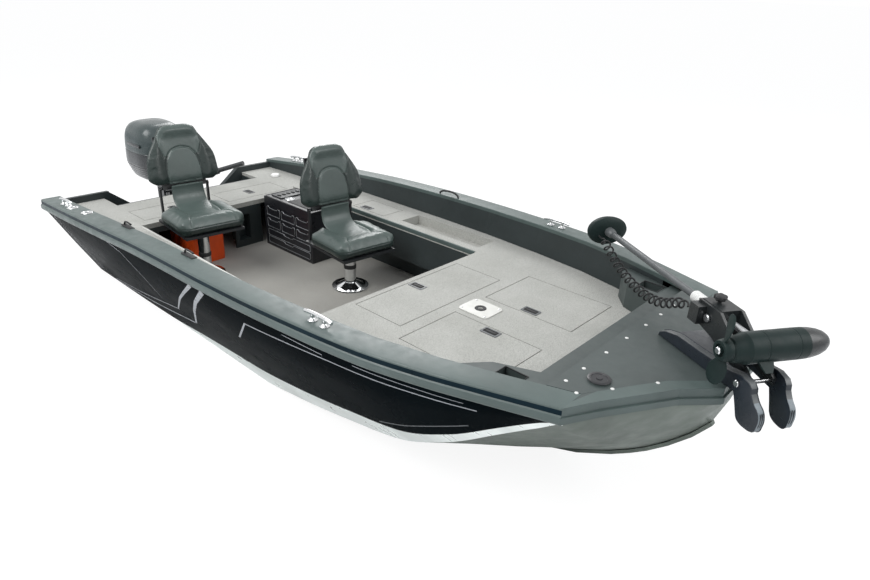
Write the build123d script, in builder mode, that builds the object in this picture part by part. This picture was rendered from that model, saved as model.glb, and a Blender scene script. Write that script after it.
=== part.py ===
from build123d import *
from math import atan2, cos, pi, radians, sin, tan
import os

os.makedirs("parts", exist_ok=True)

# Millimetres. X runs forward from the transom, Y to port, Z up from the waterline.

# Levels
DECK_Z = 570.0
FLOOR_Z = DECK_Z - 370.0
AFT_DECK_Z = DECK_Z - 40.0
BOW_TOP_Z = DECK_Z + 186.0
NOTCH_Z = DECK_Z - 150.0

# Hull stations: x, gunwale half width, gunwale top, chine half width, chine edge, stripe height, keel
# heights are above the deck plane
STATIONS = [
    (0, 951, 24, 640, -627, 22, -720),
    (300, 968, 54, 644, -618, 22, -720),
    (700, 984, 91, 648, -610, 24, -720),
    (1100, 989, 122, 650, -603, 34, -720),
    (1500, 989, 148, 650, -590, 48, -719),
    (2000, 988, 165, 650, -578, 60, -714),
    (2400, 976, 172, 650, -532, 56, -708),
    (2800, 947, 178, 650, -461, 52, -690),
    (3135, 907, 182, 650, -385, 46, -650),
    (3420, 840, 185, 650, -240, 38, -588),
    (3657, 762, 186, 650, -70, 30, -505),
    (3820, 704, 186, 652, 48, 22, -420),
    (3908, 673, 186, 655, 106, 10, -362),
]
# Bow stations: x, half width of the front edge, stem height above the deck plane
BOW_STATIONS = [
    (3974, 544, -312),
    (4054, 411, -240),
    (4137, 273, -150),
    (4200, 205, -60),
    (4240, 150, 60),
]
NOSE_X = 4250.0
NOSE_HALF = 150.0

# Sheet and section sizes
BOTTOM_T = 20.0
BOTTOM_EDGE_T = 14.0
SKIN_T = 12.0
FIT_GAP = 0.3
GUNWALE_W = 122.0
GUNWALE_T = 22.0
LIP_T = 11.7
LIP_DROP = 70.0
BAND_DROP = 30.0
BEAD_OUT = 8.0
BEAD_TOP = 38.0
BEAD_LOW = 62.0
LINER_T = 10.0
DECK_T = 20.0
LEDGE_T = 12.0
LEDGE_W = 15.0
LID_GAP = 5.0
TRANSOM_T = 40.0
HULL_HALF = max(station[1] for station in STATIONS)
WIDE = HULL_HALF + 11.0
PIN_GAP = 0.05

# Cockpit and deck edges
COCKPIT_AFT_X = 745.0
COCKPIT_FORE_X = 2548.0
COCKPIT_STB_Y = -670.0
COCKPIT_PORT_Y = 555.0
WELL_X = 255.0
BOW_BULKHEAD_X = 3700.0
BOW_PANEL_AFT_X = 3790.0


def half_at(x, column):
    """A station column, read in a straight line between its two stations."""
    for low, high in zip(STATIONS, STATIONS[1:]):
        if low[0] <= x <= high[0]:
            share = (x - low[0]) / (high[0] - low[0])
            return low[column] + share * (high[column] - low[column])
    return STATIONS[-1][column]


def polygon_prism(points, low, high, mode=Mode.ADD):
    """A closed plan outline raised between two heights, added to the open part."""
    with BuildSketch(Plane.XY.offset(low)) as plan:
        with BuildLine():
            Polyline(*points, close=True)
        make_face()
    extrude(plan.sketch, amount=high - low, mode=mode)


def block(x_low, x_high, y_low, y_high, z_low, z_high, mode=Mode.ADD):
    """A box given by its six faces, added to or cut from the open part."""
    centre = ((x_low + x_high) / 2, (y_low + y_high) / 2, (z_low + z_high) / 2)
    with Locations(centre):
        Box(x_high - x_low, y_high - y_low, z_high - z_low, mode=mode)


def section_loft(sections):
    """A ruled loft through closed sections, each a pair of x and its y, z points."""
    profiles = []
    for x, points in sections:
        with BuildSketch(Plane.YZ.offset(x)) as profile:
            with BuildLine():
                Polyline(*points, close=True)
            make_face()
        profiles.append(profile.sketch)
    loft(profiles, ruled=True)


def save(part, name):
    """Label a finished piece and write it."""
    part.label = name
    export_step(part, f"parts/{name}.step")


# Bottom pan
def bottom_section(chine, rim, stripe, keel):
    """Closed section of the bottom pan with its upturned edges."""
    right = [
        (chine, DECK_Z + rim),
        (chine, DECK_Z + rim + stripe),
        (chine - BOTTOM_EDGE_T, DECK_Z + rim + stripe),
        (chine - BOTTOM_EDGE_T, DECK_Z + rim + min(stripe - 2, BOTTOM_T)),
    ]
    left = [(-y, z) for y, z in reversed(right)]
    return [(0, DECK_Z + keel)] + right + [(0, DECK_Z + keel + BOTTOM_T)] + left


BOW_RIM = 116.0
with BuildPart() as hull_bottom:
    sections = []
    for x, _, _, chine, rim, stripe, keel in STATIONS:
        sections.append((x, bottom_section(chine, rim, stripe, keel)))
    for x, half, stem in BOW_STATIONS:
        sections.append((x, bottom_section(half - 12, BOW_RIM - 10, 10, stem)))
    section_loft(sections)
save(hull_bottom.part, "hull_bottom")

# Keel strip, along the bottom and up the stem
KEEL_STRIP_W = 26.0
KEEL_STRIP_T = 12.0
with BuildPart() as keel_strip:
    lower = [(s[0], DECK_Z + s[6]) for s in STATIONS] + [(s[0], DECK_Z + s[2]) for s in BOW_STATIONS[:-1]]
    outline = [(x, z + 2) for x, z in lower] + [(x + KEEL_STRIP_T * 0.7, z - KEEL_STRIP_T) for x, z in reversed(lower)]
    with BuildSketch(Plane.XZ):
        with BuildLine():
            Polyline(*outline, close=True)
        make_face()
    extrude(amount=KEEL_STRIP_W / 2, both=True)
    add(hull_bottom.part, mode=Mode.SUBTRACT)
save(keel_strip.part, "keel_strip")


# Side skins, cut from one body as wide as the boat
SIDES = {"starboard": -1, "port": 1}


def topside_section(inset, half, top, chine, low):
    """Closed section of the topsides, drawn in from the outer skin by an inset."""
    outer = half - LIP_T - FIT_GAP
    right = [
        (chine - inset, DECK_Z + low),
        (outer - inset, DECK_Z + top - LIP_DROP + 4),
        (outer - inset, DECK_Z + top - GUNWALE_T),
    ]
    return right + [(-y, z) for y, z in reversed(right)]


with BuildPart() as topside_core:
    section_loft([(s[0], topside_section(SKIN_T, s[1], s[2], s[3], s[4] + s[5])) for s in STATIONS])
for side_name, side in SIDES.items():
    with BuildPart() as skin:
        section_loft([(s[0], topside_section(0, s[1], s[2], s[3], s[4] + s[5])) for s in STATIONS])
        add(topside_core.part, mode=Mode.SUBTRACT)
        split(bisect_by=Plane.XZ, keep=Keep.TOP if side < 0 else Keep.BOTTOM)
    save(skin.part, f"side_{side_name}")


# Space inside the hull, between the pan and the skins, which trims what fits in it
with BuildPart() as cavity:
    sections = []
    for x, half, top, chine, rim, stripe, keel in STATIONS:
        outer = half - LIP_T - FIT_GAP - SKIN_T
        right = [
            (chine - BOTTOM_EDGE_T, rim + min(stripe - 2, BOTTOM_T)),
            (chine - BOTTOM_EDGE_T, rim + stripe),
            (chine - SKIN_T, rim + stripe),
            (outer, top - LIP_DROP + 4),
            (outer, top - GUNWALE_T),
        ]
        left = [(-y, z) for y, z in reversed(right)]
        sections.append((x, [(y, DECK_Z + z) for y, z in [(0, keel + BOTTOM_T)] + right + left]))
    section_loft(sections)


# Gunwales
def gunwale_section(side, half, top):
    """Closed section of the gunwale: top plate, lip, dark band and bead."""
    points = [
        (half - GUNWALE_W, top),
        (half - 5, top),
        (half, top - 5),
        (half, top - BAND_DROP),
        (half + BEAD_OUT, top - BEAD_TOP),
        (half + BEAD_OUT, top - BEAD_LOW),
        (half, top - LIP_DROP),
        (half - LIP_T, top - LIP_DROP),
        (half - LIP_T, top - GUNWALE_T),
        (half - GUNWALE_W, top - GUNWALE_T),
    ]
    return [(side * y, DECK_Z + z) for y, z in points]


for side_name, side in SIDES.items():
    with BuildPart() as gunwale:
        section_loft([(s[0], gunwale_section(side, s[1], s[2])) for s in STATIONS])
    save(gunwale.part, f"gunwale_{side_name}")

# Liners between deck and gunwale, with a deeper foot beside the aft deck
SIDE_DECK_X = COCKPIT_AFT_X + 6
LINER_FRONT_X = 3657.0
for side_name, side in SIDES.items():
    with BuildPart() as liner:
        for x_low, x_high, foot in ((TRANSOM_T + FIT_GAP, SIDE_DECK_X, AFT_DECK_Z), (SIDE_DECK_X, LINER_FRONT_X, DECK_Z)):
            sections = []
            for x in [x_low] + [s[0] for s in STATIONS if x_low < s[0] < x_high] + [x_high]:
                inner = half_at(x, 1) - GUNWALE_W
                high = DECK_Z + half_at(x, 2) - GUNWALE_T
                points = [(inner, foot), (inner + LINER_T, foot), (inner + LINER_T, high), (inner, high)]
                sections.append((x, [(side * y, z) for y, z in points]))
            section_loft(sections)
    save(liner.part, f"liner_{side_name}")

# Bow rail, panel and bulkhead
corner_x, corner_y = STATIONS[-1][0], STATIONS[-1][1]


def bow_outline(grow, aft_x):
    """Plan outline of the bow edge grown outward, closed at an aft line."""
    front = [(corner_x, corner_y)] + [(x, half) for x, half, _ in BOW_STATIONS[:3]] + [(NOSE_X, NOSE_HALF)]
    port = []
    for x, y in front:
        turn = atan2(y, x - (corner_x - corner_y * 0.6))
        port.append((x + grow * cos(turn), y + grow * sin(turn)))
    port[0] = (corner_x, corner_y + grow)
    aft = [(aft_x, corner_y + grow)] if aft_x < corner_x else []
    half = aft + port
    return half + [(x, -y) for x, y in reversed(half)]


RAIL_W = 58.0
PANEL_T = 6.0
with BuildPart() as bow_rail:
    layers = [
        (0, -RAIL_W, -GUNWALE_T, 0),
        (0, -LIP_T, -LIP_DROP, -GUNWALE_T),
        (BEAD_OUT, -LIP_T, -BEAD_LOW, -BEAD_TOP),
    ]
    for grow, inner, low, high in layers:
        with BuildSketch(Plane.XY.offset(BOW_TOP_Z + low)):
            with BuildLine():
                Polyline(*bow_outline(grow, corner_x), close=True)
            make_face()
            with BuildLine():
                Polyline(*bow_outline(inner, corner_x - 200), close=True)
            make_face(mode=Mode.SUBTRACT)
        extrude(amount=high - low)
save(bow_rail.part, "bow_rail")

CUP_R = 42.0
CUP_XY = (3906.0, -430.0)
with BuildPart() as bow_panel:
    inner = half_at(BOW_PANEL_AFT_X, 1) - GUNWALE_W - FIT_GAP
    corner = corner_y - GUNWALE_W - FIT_GAP
    front = [(x, y) for x, y in bow_outline(-RAIL_W - FIT_GAP, corner_x) if x > corner_x + 1 and y > 0]
    half_plan = [(BOW_PANEL_AFT_X, inner), (corner_x, corner)] + front
    plan = half_plan + [(x, -y) for x, y in reversed(half_plan)]
    polygon_prism(plan, BOW_TOP_Z - PANEL_T, BOW_TOP_Z)
    with Locations((*CUP_XY, BOW_TOP_Z)):
        Cylinder(CUP_R, 5, align=(Align.CENTER, Align.CENTER, Align.MIN))
    flange_z = BOW_TOP_Z - PANEL_T - 30
    block(BOW_PANEL_AFT_X, BOW_PANEL_AFT_X + 6, -inner + 20, inner - 20, flange_z, BOW_TOP_Z - PANEL_T)
save(bow_panel.part, "bow_panel")

# Wall under the bow panel, standing on the foredeck's front edge
with BuildPart() as bow_bulkhead:
    shelf_z = BOW_TOP_Z - PANEL_T - 30
    block(BOW_BULKHEAD_X, BOW_BULKHEAD_X + 8, -WIDE, WIDE, DECK_Z, shelf_z)
    block(BOW_BULKHEAD_X, BOW_PANEL_AFT_X + 20, -WIDE, WIDE, shelf_z - 10, shelf_z)
    add(cavity.part, mode=Mode.INTERSECT)
save(bow_bulkhead.part, "bow_bulkhead")

# Cockpit floor, resting on the chine rims
FLOOR_T = 20.0
FLOOR_FORE_X = 2720.0
with BuildPart() as cockpit_floor:
    block(TRANSOM_T, FLOOR_FORE_X, -WIDE, WIDE, FLOOR_Z - FLOOR_T, FLOOR_Z)
    add(cavity.part, mode=Mode.INTERSECT)
save(cockpit_floor.part, "cockpit_floor")

# Transom with its splash notch
NOTCH_LOW_HALF = 330.0
NOTCH_HIGH_HALF = 520.0
with BuildPart() as transom:
    block(0, TRANSOM_T, -WIDE, WIDE, DECK_Z + STATIONS[0][6], DECK_Z + STATIONS[0][2])
    add(cavity.part, mode=Mode.INTERSECT)
    notch = [(NOTCH_HIGH_HALF, DECK_Z + 100), (NOTCH_HIGH_HALF, DECK_Z), (NOTCH_LOW_HALF, NOTCH_Z)]
    with BuildSketch(Plane.YZ) as notch_plan:
        with BuildLine():
            Polyline(*(notch + [(-y, z) for y, z in reversed(notch)]), close=True)
        make_face()
    extrude(amount=TRANSOM_T, mode=Mode.SUBTRACT)
save(transom.part, "transom")

# Splash well between the transom and the aft deck
WELL_FLOOR_Z = NOTCH_Z - 60
WELL_HALF = 560.0
WELL_T = 10.0
with BuildPart() as splash_well:
    well_aft = TRANSOM_T + FIT_GAP
    with BuildSketch(Plane.XZ.offset(-WELL_HALF)):
        with BuildLine():
            Polyline(
                (well_aft, WELL_FLOOR_Z),
                (WELL_X - 60, WELL_FLOOR_Z),
                (WELL_X - WELL_T, AFT_DECK_Z),
                (WELL_X - FIT_GAP, AFT_DECK_Z),
                (WELL_X - FIT_GAP, AFT_DECK_Z - 60),
                (WELL_X - 55, WELL_FLOOR_Z - WELL_T),
                (well_aft, WELL_FLOOR_Z - WELL_T),
                close=True,
            )
        make_face()
    extrude(amount=2 * WELL_HALF)
    for end in (-WELL_HALF, WELL_HALF - WELL_T):
        block(well_aft, WELL_X - 62, end, end + WELL_T, WELL_FLOOR_Z, AFT_DECK_Z - DECK_T - 2)
save(splash_well.part, "splash_well")


# Lids and the openings they lie in: x low, x high, y low, y high, deck height
LIDS = {
    "lid_bow_aft": (2585, 2890, -415, 340, DECK_Z),
    "lid_bow_port": (2975, 3475, 122, 500, DECK_Z),
    "lid_bow_starboard": (2975, 3475, -500, -122, DECK_Z),
    "lid_side": (1400, 1700, 600, 780, DECK_Z),
    "lid_aft_port": (430, 660, 60, 560, AFT_DECK_Z),
    "lid_aft_starboard": (430, 660, -560, -60, AFT_DECK_Z),
}


def cut_lid_opening(lid):
    """Cut one lid's opening with the ledge it rests on."""
    x_low, x_high, y_low, y_high, top = lid
    ledge_z = top - DECK_T - FIT_GAP
    gap, lip = LID_GAP, LEDGE_W
    block(x_low - gap, x_high + gap, y_low - gap, y_high + gap, ledge_z, top + 1, mode=Mode.SUBTRACT)
    block(x_low + lip, x_high - lip, y_low + lip, y_high - lip, top - 60, top, mode=Mode.SUBTRACT)


for name, (x_low, x_high, y_low, y_high, top) in LIDS.items():
    with BuildPart() as lid:
        block(x_low, x_high, y_low, y_high, top - DECK_T, top)
    save(lid.part, name)

# Seat socket let into the foredeck
SOCKET_XY = (3040.0, -8.0)
SOCKET_PLATE = (178.0, 150.0, 5.0)
SOCKET_R = 30.0
SOCKET_BORE_R = 9.7
SOCKET_DEPTH = 70.0
with BuildPart(Plane((*SOCKET_XY, DECK_Z))) as seat_socket:
    with BuildSketch(Plane((*SOCKET_XY, DECK_Z))):
        RectangleRounded(SOCKET_PLATE[0], SOCKET_PLATE[1], 25)
    extrude(amount=SOCKET_PLATE[2])
    Cylinder(SOCKET_R, SOCKET_DEPTH, align=(Align.CENTER, Align.CENTER, Align.MAX))
    with Locations((0, 0, SOCKET_PLATE[2])):
        Hole(SOCKET_BORE_R)
save(seat_socket.part, "seat_socket")

# Foredeck
with BuildPart() as foredeck:
    block(COCKPIT_FORE_X, BOW_BULKHEAD_X + 8, -WIDE, WIDE, DECK_Z - DECK_T - LEDGE_T, DECK_Z)
    add(cavity.part, mode=Mode.INTERSECT)
    for name in ("lid_bow_aft", "lid_bow_port", "lid_bow_starboard"):
        cut_lid_opening(LIDS[name])
    with Locations((*SOCKET_XY, DECK_Z)):
        Cylinder(SOCKET_R + FIT_GAP, 4 * DECK_T, mode=Mode.SUBTRACT)
save(foredeck.part, "foredeck")

# Wall below the foredeck's aft edge
with BuildPart() as fore_bulkhead:
    block(COCKPIT_FORE_X, COCKPIT_FORE_X + 12, -WIDE, WIDE, FLOOR_Z, DECK_Z - DECK_T - LEDGE_T)
    add(cavity.part, mode=Mode.INTERSECT)
save(fore_bulkhead.part, "fore_bulkhead")

# Starboard side deck and its cockpit wall
with BuildPart() as side_deck_starboard:
    block(SIDE_DECK_X, COCKPIT_FORE_X - FIT_GAP, -WIDE, COCKPIT_STB_Y, DECK_Z - DECK_T - LEDGE_T, DECK_Z)
    add(cavity.part, mode=Mode.INTERSECT)
save(side_deck_starboard.part, "side_deck_starboard")
WALL_T = 12.0
with BuildPart() as side_wall_starboard:
    wall_low = FLOOR_Z
    block(
        COCKPIT_AFT_X + 20, COCKPIT_FORE_X - FIT_GAP,
        COCKPIT_STB_Y - WALL_T, COCKPIT_STB_Y,
        wall_low, DECK_Z - DECK_T - LEDGE_T,
    )
save(side_wall_starboard.part, "side_wall_starboard")

# Port side deck with the sunk tackle tray and side lid
TRAY = (1850.0, 2545.0 - 40, 630.0, 795.0, 62.0)
CONSOLE_X = (800.0, 1350.0)
CONSOLE_Y = 262.0
with BuildPart() as side_deck_port:
    block(SIDE_DECK_X, COCKPIT_FORE_X - FIT_GAP, COCKPIT_PORT_Y, WIDE, DECK_Z - DECK_T - LEDGE_T, DECK_Z)
    add(cavity.part, mode=Mode.INTERSECT)
    x_low, x_high, y_low, y_high, depth = TRAY
    block(x_low - 10, x_high + 10, y_low - 10, y_high + 10, DECK_Z - depth - 10, DECK_Z - DECK_T - LEDGE_T)
    block(x_low, x_high, y_low, y_high, DECK_Z - depth, DECK_Z + 1, mode=Mode.SUBTRACT)
    cut_lid_opening(LIDS["lid_side"])
save(side_deck_port.part, "side_deck_port")
with BuildPart() as side_wall_port:
    wall_low = DECK_Z - 235
    block(
        CONSOLE_X[1] + FIT_GAP, COCKPIT_FORE_X - FIT_GAP,
        COCKPIT_PORT_Y, COCKPIT_PORT_Y + WALL_T,
        wall_low, DECK_Z - DECK_T - LEDGE_T,
    )
    block(
        CONSOLE_X[1] + FIT_GAP, COCKPIT_FORE_X - FIT_GAP,
        COCKPIT_PORT_Y + 90, COCKPIT_PORT_Y + 90 + WALL_T,
        FLOOR_Z, wall_low + WALL_T,
    )
    block(
        CONSOLE_X[1] + FIT_GAP, COCKPIT_FORE_X - FIT_GAP,
        COCKPIT_PORT_Y + WALL_T, COCKPIT_PORT_Y + 90,
        wall_low, wall_low + WALL_T,
    )
save(side_wall_port.part, "side_wall_port")

# Aft deck and bulkhead with the tank bay
with BuildPart() as aft_deck:
    block(TRANSOM_T, COCKPIT_AFT_X, -WIDE, WIDE, AFT_DECK_Z - DECK_T - LEDGE_T, AFT_DECK_Z)
    add(cavity.part, mode=Mode.INTERSECT)
    block(0, WELL_X, -WELL_HALF, WELL_HALF, AFT_DECK_Z - 50, AFT_DECK_Z + 1, mode=Mode.SUBTRACT)
    for name in ("lid_aft_port", "lid_aft_starboard"):
        cut_lid_opening(LIDS[name])
save(aft_deck.part, "aft_deck")
BAY_Y = (-520.0, 40.0)
BAY_TOP_Z = DECK_Z - 110
RECESS = (70.0, 165.0, DECK_Z - 320, DECK_Z - 130)
with BuildPart() as aft_bulkhead:
    wall_x = COCKPIT_AFT_X - 14
    block(wall_x, COCKPIT_AFT_X, -700, CONSOLE_Y - FIT_GAP, FLOOR_Z, AFT_DECK_Z - DECK_T - LEDGE_T)
    block(wall_x - 1, COCKPIT_AFT_X + 1, *BAY_Y, FLOOR_Z - 1, BAY_TOP_Z, mode=Mode.SUBTRACT)
    y_low, y_high, z_low, z_high = RECESS
    block(wall_x - 70, wall_x, y_low - 8, y_high + 8, z_low - 8, z_high + 8)
    block(wall_x - 62, COCKPIT_AFT_X + 1, y_low, y_high, z_low, z_high, mode=Mode.SUBTRACT)
save(aft_bulkhead.part, "aft_bulkhead")

# Console on the port side
CONSOLE_WALL = 14.0
CONSOLE_DEPTH = COCKPIT_PORT_Y - CONSOLE_Y - FIT_GAP
BAYS = [
    # z low, z high below the deck plane, for the trays and drawers
    (-352, -238),
    (-228, -150),
    (-140, -62),
]
with BuildPart() as console:
    block(*CONSOLE_X, CONSOLE_Y, CONSOLE_Y + CONSOLE_DEPTH, FLOOR_Z, DECK_Z)
    for low, high in BAYS:
        block(
            CONSOLE_X[0] + 20, CONSOLE_X[1] - 20, CONSOLE_Y - 1, CONSOLE_Y + CONSOLE_DEPTH - 20,
            DECK_Z + low, DECK_Z + high, mode=Mode.SUBTRACT,
        )
save(console.part, "console")
with BuildPart() as console_trays:
    for low, high in BAYS[1:]:
        for index in range(3):
            width = (CONSOLE_X[1] - CONSOLE_X[0] - 40 - 2 * 8) / 3
            start = CONSOLE_X[0] + 20 + index * (width + 8)
            block(start + 1, start + width, CONSOLE_Y + 2, CONSOLE_Y + 240, DECK_Z + low + FIT_GAP, DECK_Z + high - 4)
    half_high = (BAYS[0][1] - BAYS[0][0]) / 2
    for index in range(2):
        low = DECK_Z + BAYS[0][0] + index * half_high + FIT_GAP
        block(CONSOLE_X[0] + 22, CONSOLE_X[1] - 22, CONSOLE_Y + 2, CONSOLE_Y + 240, low, low + half_high - FIT_GAP)
save(console_trays.part, "console_trays")

# Corner pockets beside the bow panel
for side_name, side in SIDES.items():
    with BuildPart() as pocket:
        outer = [(x, side * (half_at(x, 1) - GUNWALE_W - FIT_GAP)) for x in (3440.0, 3657.0, BOW_BULKHEAD_X - FIT_GAP)]
        plan = [(3440.0, side * 640.0), (3520.0, side * 545.0), (BOW_BULKHEAD_X - FIT_GAP, side * 470.0)] + outer[::-1]
        polygon_prism(plan, DECK_Z, DECK_Z + 140)
        low, high = sorted((side * 535.0, side * 620.0))
        block(3575, 3680, low, high, DECK_Z + 30, DECK_Z + 141, mode=Mode.SUBTRACT)
    save(pocket.part, f"pocket_{side_name}")

# Cleats, handles and deck fittings
with BuildPart() as cleats:
    for x, side in ((2883, -1), (337, -1), (2883, 1), (337, 1)):
        y = side * (half_at(x, 1) - GUNWALE_W / 2)
        for step in (-38, 38):
            with Locations((x + step, y, DECK_Z + half_at(x + step, 2) + 0.9)):
                Cylinder(9, 28, align=(Align.CENTER, Align.CENTER, Align.MIN))
        with Locations(Location((x, y, DECK_Z + half_at(x, 2) + 34), (0, 90, 0))):
            Cylinder(9, 170)
save(cleats.part, "cleats")

# Orange portable fuel tank on the floor, in the bay
TANK_X = (500.0, 850.0)
TANK_Y = (-345.0, -105.0)
TANK_H = 205.0
with BuildPart() as fuel_tank:
    block(*TANK_X, *TANK_Y, FLOOR_Z + FIT_GAP, FLOOR_Z + FIT_GAP + TANK_H)
    fillet(fuel_tank.edges().filter_by(Axis.Z), 40)
    fillet(fuel_tank.faces().sort_by(Axis.Z)[-1].edges(), 22)
    with Locations((TANK_X[1] - 80, sum(TANK_Y) / 2, FLOOR_Z + TANK_H)):
        Cylinder(32, 50, align=(Align.CENTER, Align.CENTER, Align.MIN))
save(fuel_tank.part, "fuel_tank")


# Seats on pedestals: name, post x and y, height of the swivel plate, heading in degrees
SEATS = [
    ("fore", 1798.0, 217.0, DECK_Z - 120.0, -6.0),
    ("aft", 1004.0, -350.0, DECK_Z - 56.0, -6.0),
]
BASE_R = 118.0
POST_R = 36.5
PLATE_T = 24.0
SHELL_T = 16.0
CUSHION_T = 108.0
CUSHION_X = (-170.0, 240.0)
CUSHION_HALF = 228.0
BACK_PIVOT = (-216.0, 236.0)
BACK_LEAN = 12.0
BACK_H = 404.0
BACK_T = 62.0
BACK_FOOT = 16.0
BACK_HALF = 245.0
BACK_TOP_HALF = 150.0
HINGE_R = 8.0
EAR_R = 15.0
EAR_HALF = 10.0
BACK_FRAME_T = 16.0
BACK_START = 21.0
EAR_Y = (150.0, 162.0)

for seat_name, seat_x, seat_y, plate_z, heading in SEATS:
    turn = radians(heading)
    seat_plane = Plane(origin=(seat_x, seat_y, plate_z), x_dir=(cos(turn), sin(turn), 0), z_dir=(0, 0, 1))
    with BuildPart(Plane((seat_x, seat_y, FLOOR_Z))) as pedestal:
        Cylinder(BASE_R, 12, align=(Align.CENTER, Align.CENTER, Align.MIN))
        with Locations((0, 0, 12)):
            Cone(BASE_R - 25, POST_R + 6, 26, align=(Align.CENTER, Align.CENTER, Align.MIN))
        Cylinder(POST_R, plate_z - FLOOR_Z - FIT_GAP, align=(Align.CENTER, Align.CENTER, Align.MIN))
    save(pedestal.part, f"pedestal_{seat_name}")

    with BuildPart(seat_plane) as base:
        block(-100, 100, -100, 100, 0, PLATE_T)
        block(CUSHION_X[0] - 50, CUSHION_X[1] - 20, -190, 190, PLATE_T, PLATE_T + SHELL_T)
        for side in SIDES.values():
            low, high = sorted((side * EAR_Y[0], side * EAR_Y[1]))
            block(BACK_PIVOT[0] - EAR_HALF, BACK_PIVOT[0] + EAR_HALF, low, high, PLATE_T, BACK_PIVOT[1])
            with Locations(Location((BACK_PIVOT[0], (low + high) / 2, BACK_PIVOT[1]), (90, 0, 0))):
                Cylinder(EAR_R, EAR_Y[1] - EAR_Y[0])
                Cylinder(HINGE_R + PIN_GAP, EAR_Y[1] - EAR_Y[0] + 2, mode=Mode.SUBTRACT)
    save(base.part, f"seat_{seat_name}_base")

    cushion_low = PLATE_T + SHELL_T + FIT_GAP
    with BuildPart(seat_plane) as cushion:
        block(*CUSHION_X, -CUSHION_HALF, CUSHION_HALF, cushion_low, cushion_low + CUSHION_T - 2)
        fillet(cushion.edges().filter_by(Axis.Z), 60)
        fillet(cushion.faces().sort_by(Axis.Z)[-1].edges(), 28)
    save(cushion.part, f"seat_{seat_name}_cushion")

    pivot = seat_plane.from_local_coords(Vector(BACK_PIVOT[0], 0, BACK_PIVOT[1]))
    lean = radians(BACK_LEAN)
    up = Vector(-sin(lean) * cos(turn), -sin(lean) * sin(turn), cos(lean))
    back_plane = Plane(origin=pivot, x_dir=(-sin(turn), cos(turn), 0), z_dir=Vector(cos(lean) * cos(turn), cos(lean) * sin(turn), sin(lean)))
    with BuildPart(back_plane) as frame_back:
        with Locations(Location((0, 0, 0), (0, 90, 0))):
            Cylinder(HINGE_R, 2 * EAR_Y[1])
        plate_front = BACK_START - FIT_GAP
        block(-EAR_Y[0] + 6, EAR_Y[0] - 6, -HINGE_R, BACK_H * 0.8, plate_front - BACK_FRAME_T, plate_front)
    save(frame_back.part, f"seat_{seat_name}_frame")
    with BuildPart(back_plane) as back:
        with BuildSketch(back_plane.offset(BACK_START)) as outline:
            with BuildLine():
                Polyline(
                    (-BACK_HALF * 0.78, BACK_FOOT), (-BACK_HALF, 65), (-BACK_HALF * 0.97, 165),
                    (-BACK_TOP_HALF, BACK_H - 75), (-BACK_TOP_HALF * 0.85, BACK_H - 28), (-BACK_TOP_HALF * 0.5, BACK_H),
                    (BACK_TOP_HALF * 0.5, BACK_H), (BACK_TOP_HALF * 0.85, BACK_H - 28), (BACK_TOP_HALF, BACK_H - 75),
                    (BACK_HALF * 0.97, 165), (BACK_HALF, 65), (BACK_HALF * 0.78, BACK_FOOT),
                    close=True,
                )
            make_face()
        extrude(amount=BACK_T)
    save(back.part, f"seat_{seat_name}_back")

# Outboard motor on the transom notch
TILT_X = -5.0
TILT_Z = NOTCH_Z + 65
STEER_X = -110.0
PROP_AXIS_Z = DECK_Z - 885
PLATE_Y = (95.0, 110.0)
with BuildPart() as motor_clamp:
    for side in SIDES.values():
        low, high = sorted((side * PLATE_Y[0], side * PLATE_Y[1]))
        block(-75, -FIT_GAP, low, high, NOTCH_Z - 260, TILT_Z + 20)
        block(-FIT_GAP - 1, TILT_X + 19, low, high, NOTCH_Z + FIT_GAP, TILT_Z + 20)
        block(-FIT_GAP - 1, TRANSOM_T + 18, low, high, NOTCH_Z + FIT_GAP, NOTCH_Z + 40)
        block(TRANSOM_T + 6, TRANSOM_T + 18, low, high, NOTCH_Z - 50, NOTCH_Z + 1)
        with Locations(Location((TRANSOM_T + 14, (low + high) / 2, NOTCH_Z - 30), (0, 90, 0))):
            Cylinder(12, 27)
        with Locations(Location((TILT_X, (low + high) / 2, TILT_Z), (90, 0, 0))):
            Cylinder(12 + PIN_GAP, 20, mode=Mode.SUBTRACT)
    block(-68, -53, -PLATE_Y[0], PLATE_Y[0], NOTCH_Z - 260, NOTCH_Z - 235)
save(motor_clamp.part, "motor_clamp")
with BuildPart() as motor_swivel:
    with Locations(Location((TILT_X, 0, TILT_Z), (90, 0, 0))):
        Cylinder(12, 2 * PLATE_Y[1])
    block(-72, TILT_X, -80, 80, TILT_Z - 16, TILT_Z + 16)
    block(-82, -64, -30, 30, NOTCH_Z - 220, TILT_Z)
    with Locations((STEER_X, 0, (NOTCH_Z - 220 + TILT_Z + 30) / 2)):
        Cylinder(32, TILT_Z + 30 - NOTCH_Z + 220)
save(motor_swivel.part, "motor_swivel")
COWL_LOW_Z = TILT_Z + 60
TILLER_PIVOT = Vector(-4, 105, COWL_LOW_Z - 4)
TILLER_PIN_R = 5.0
CLEVIS_Y = (20.0, 27.0)
tiller_side = Vector(0.527, -0.84987, 0)
clevis_plane = Plane(origin=TILLER_PIVOT, x_dir=(0.84987, 0.527, 0), z_dir=(0, 0, 1))
with BuildPart() as motor_cowl:
    levels = [
        # height, x aft, x fore, half width
        (COWL_LOW_Z, -440, -70, 150),
        (COWL_LOW_Z + 120, -490, -40, 190),
        (DECK_Z + 270, -480, -45, 182),
        (DECK_Z + 360, -440, -70, 160),
        (DECK_Z + 405, -380, -130, 110),
    ]
    for height, aft, fore, half in levels:
        with BuildSketch(Plane.XY.offset(height)):
            with Locations(((aft + fore) / 2, 0)):
                RectangleRounded(fore - aft, 2 * half, half * 0.45)
    loft(ruled=True)
save(motor_cowl.part, "motor_cowl")
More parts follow.
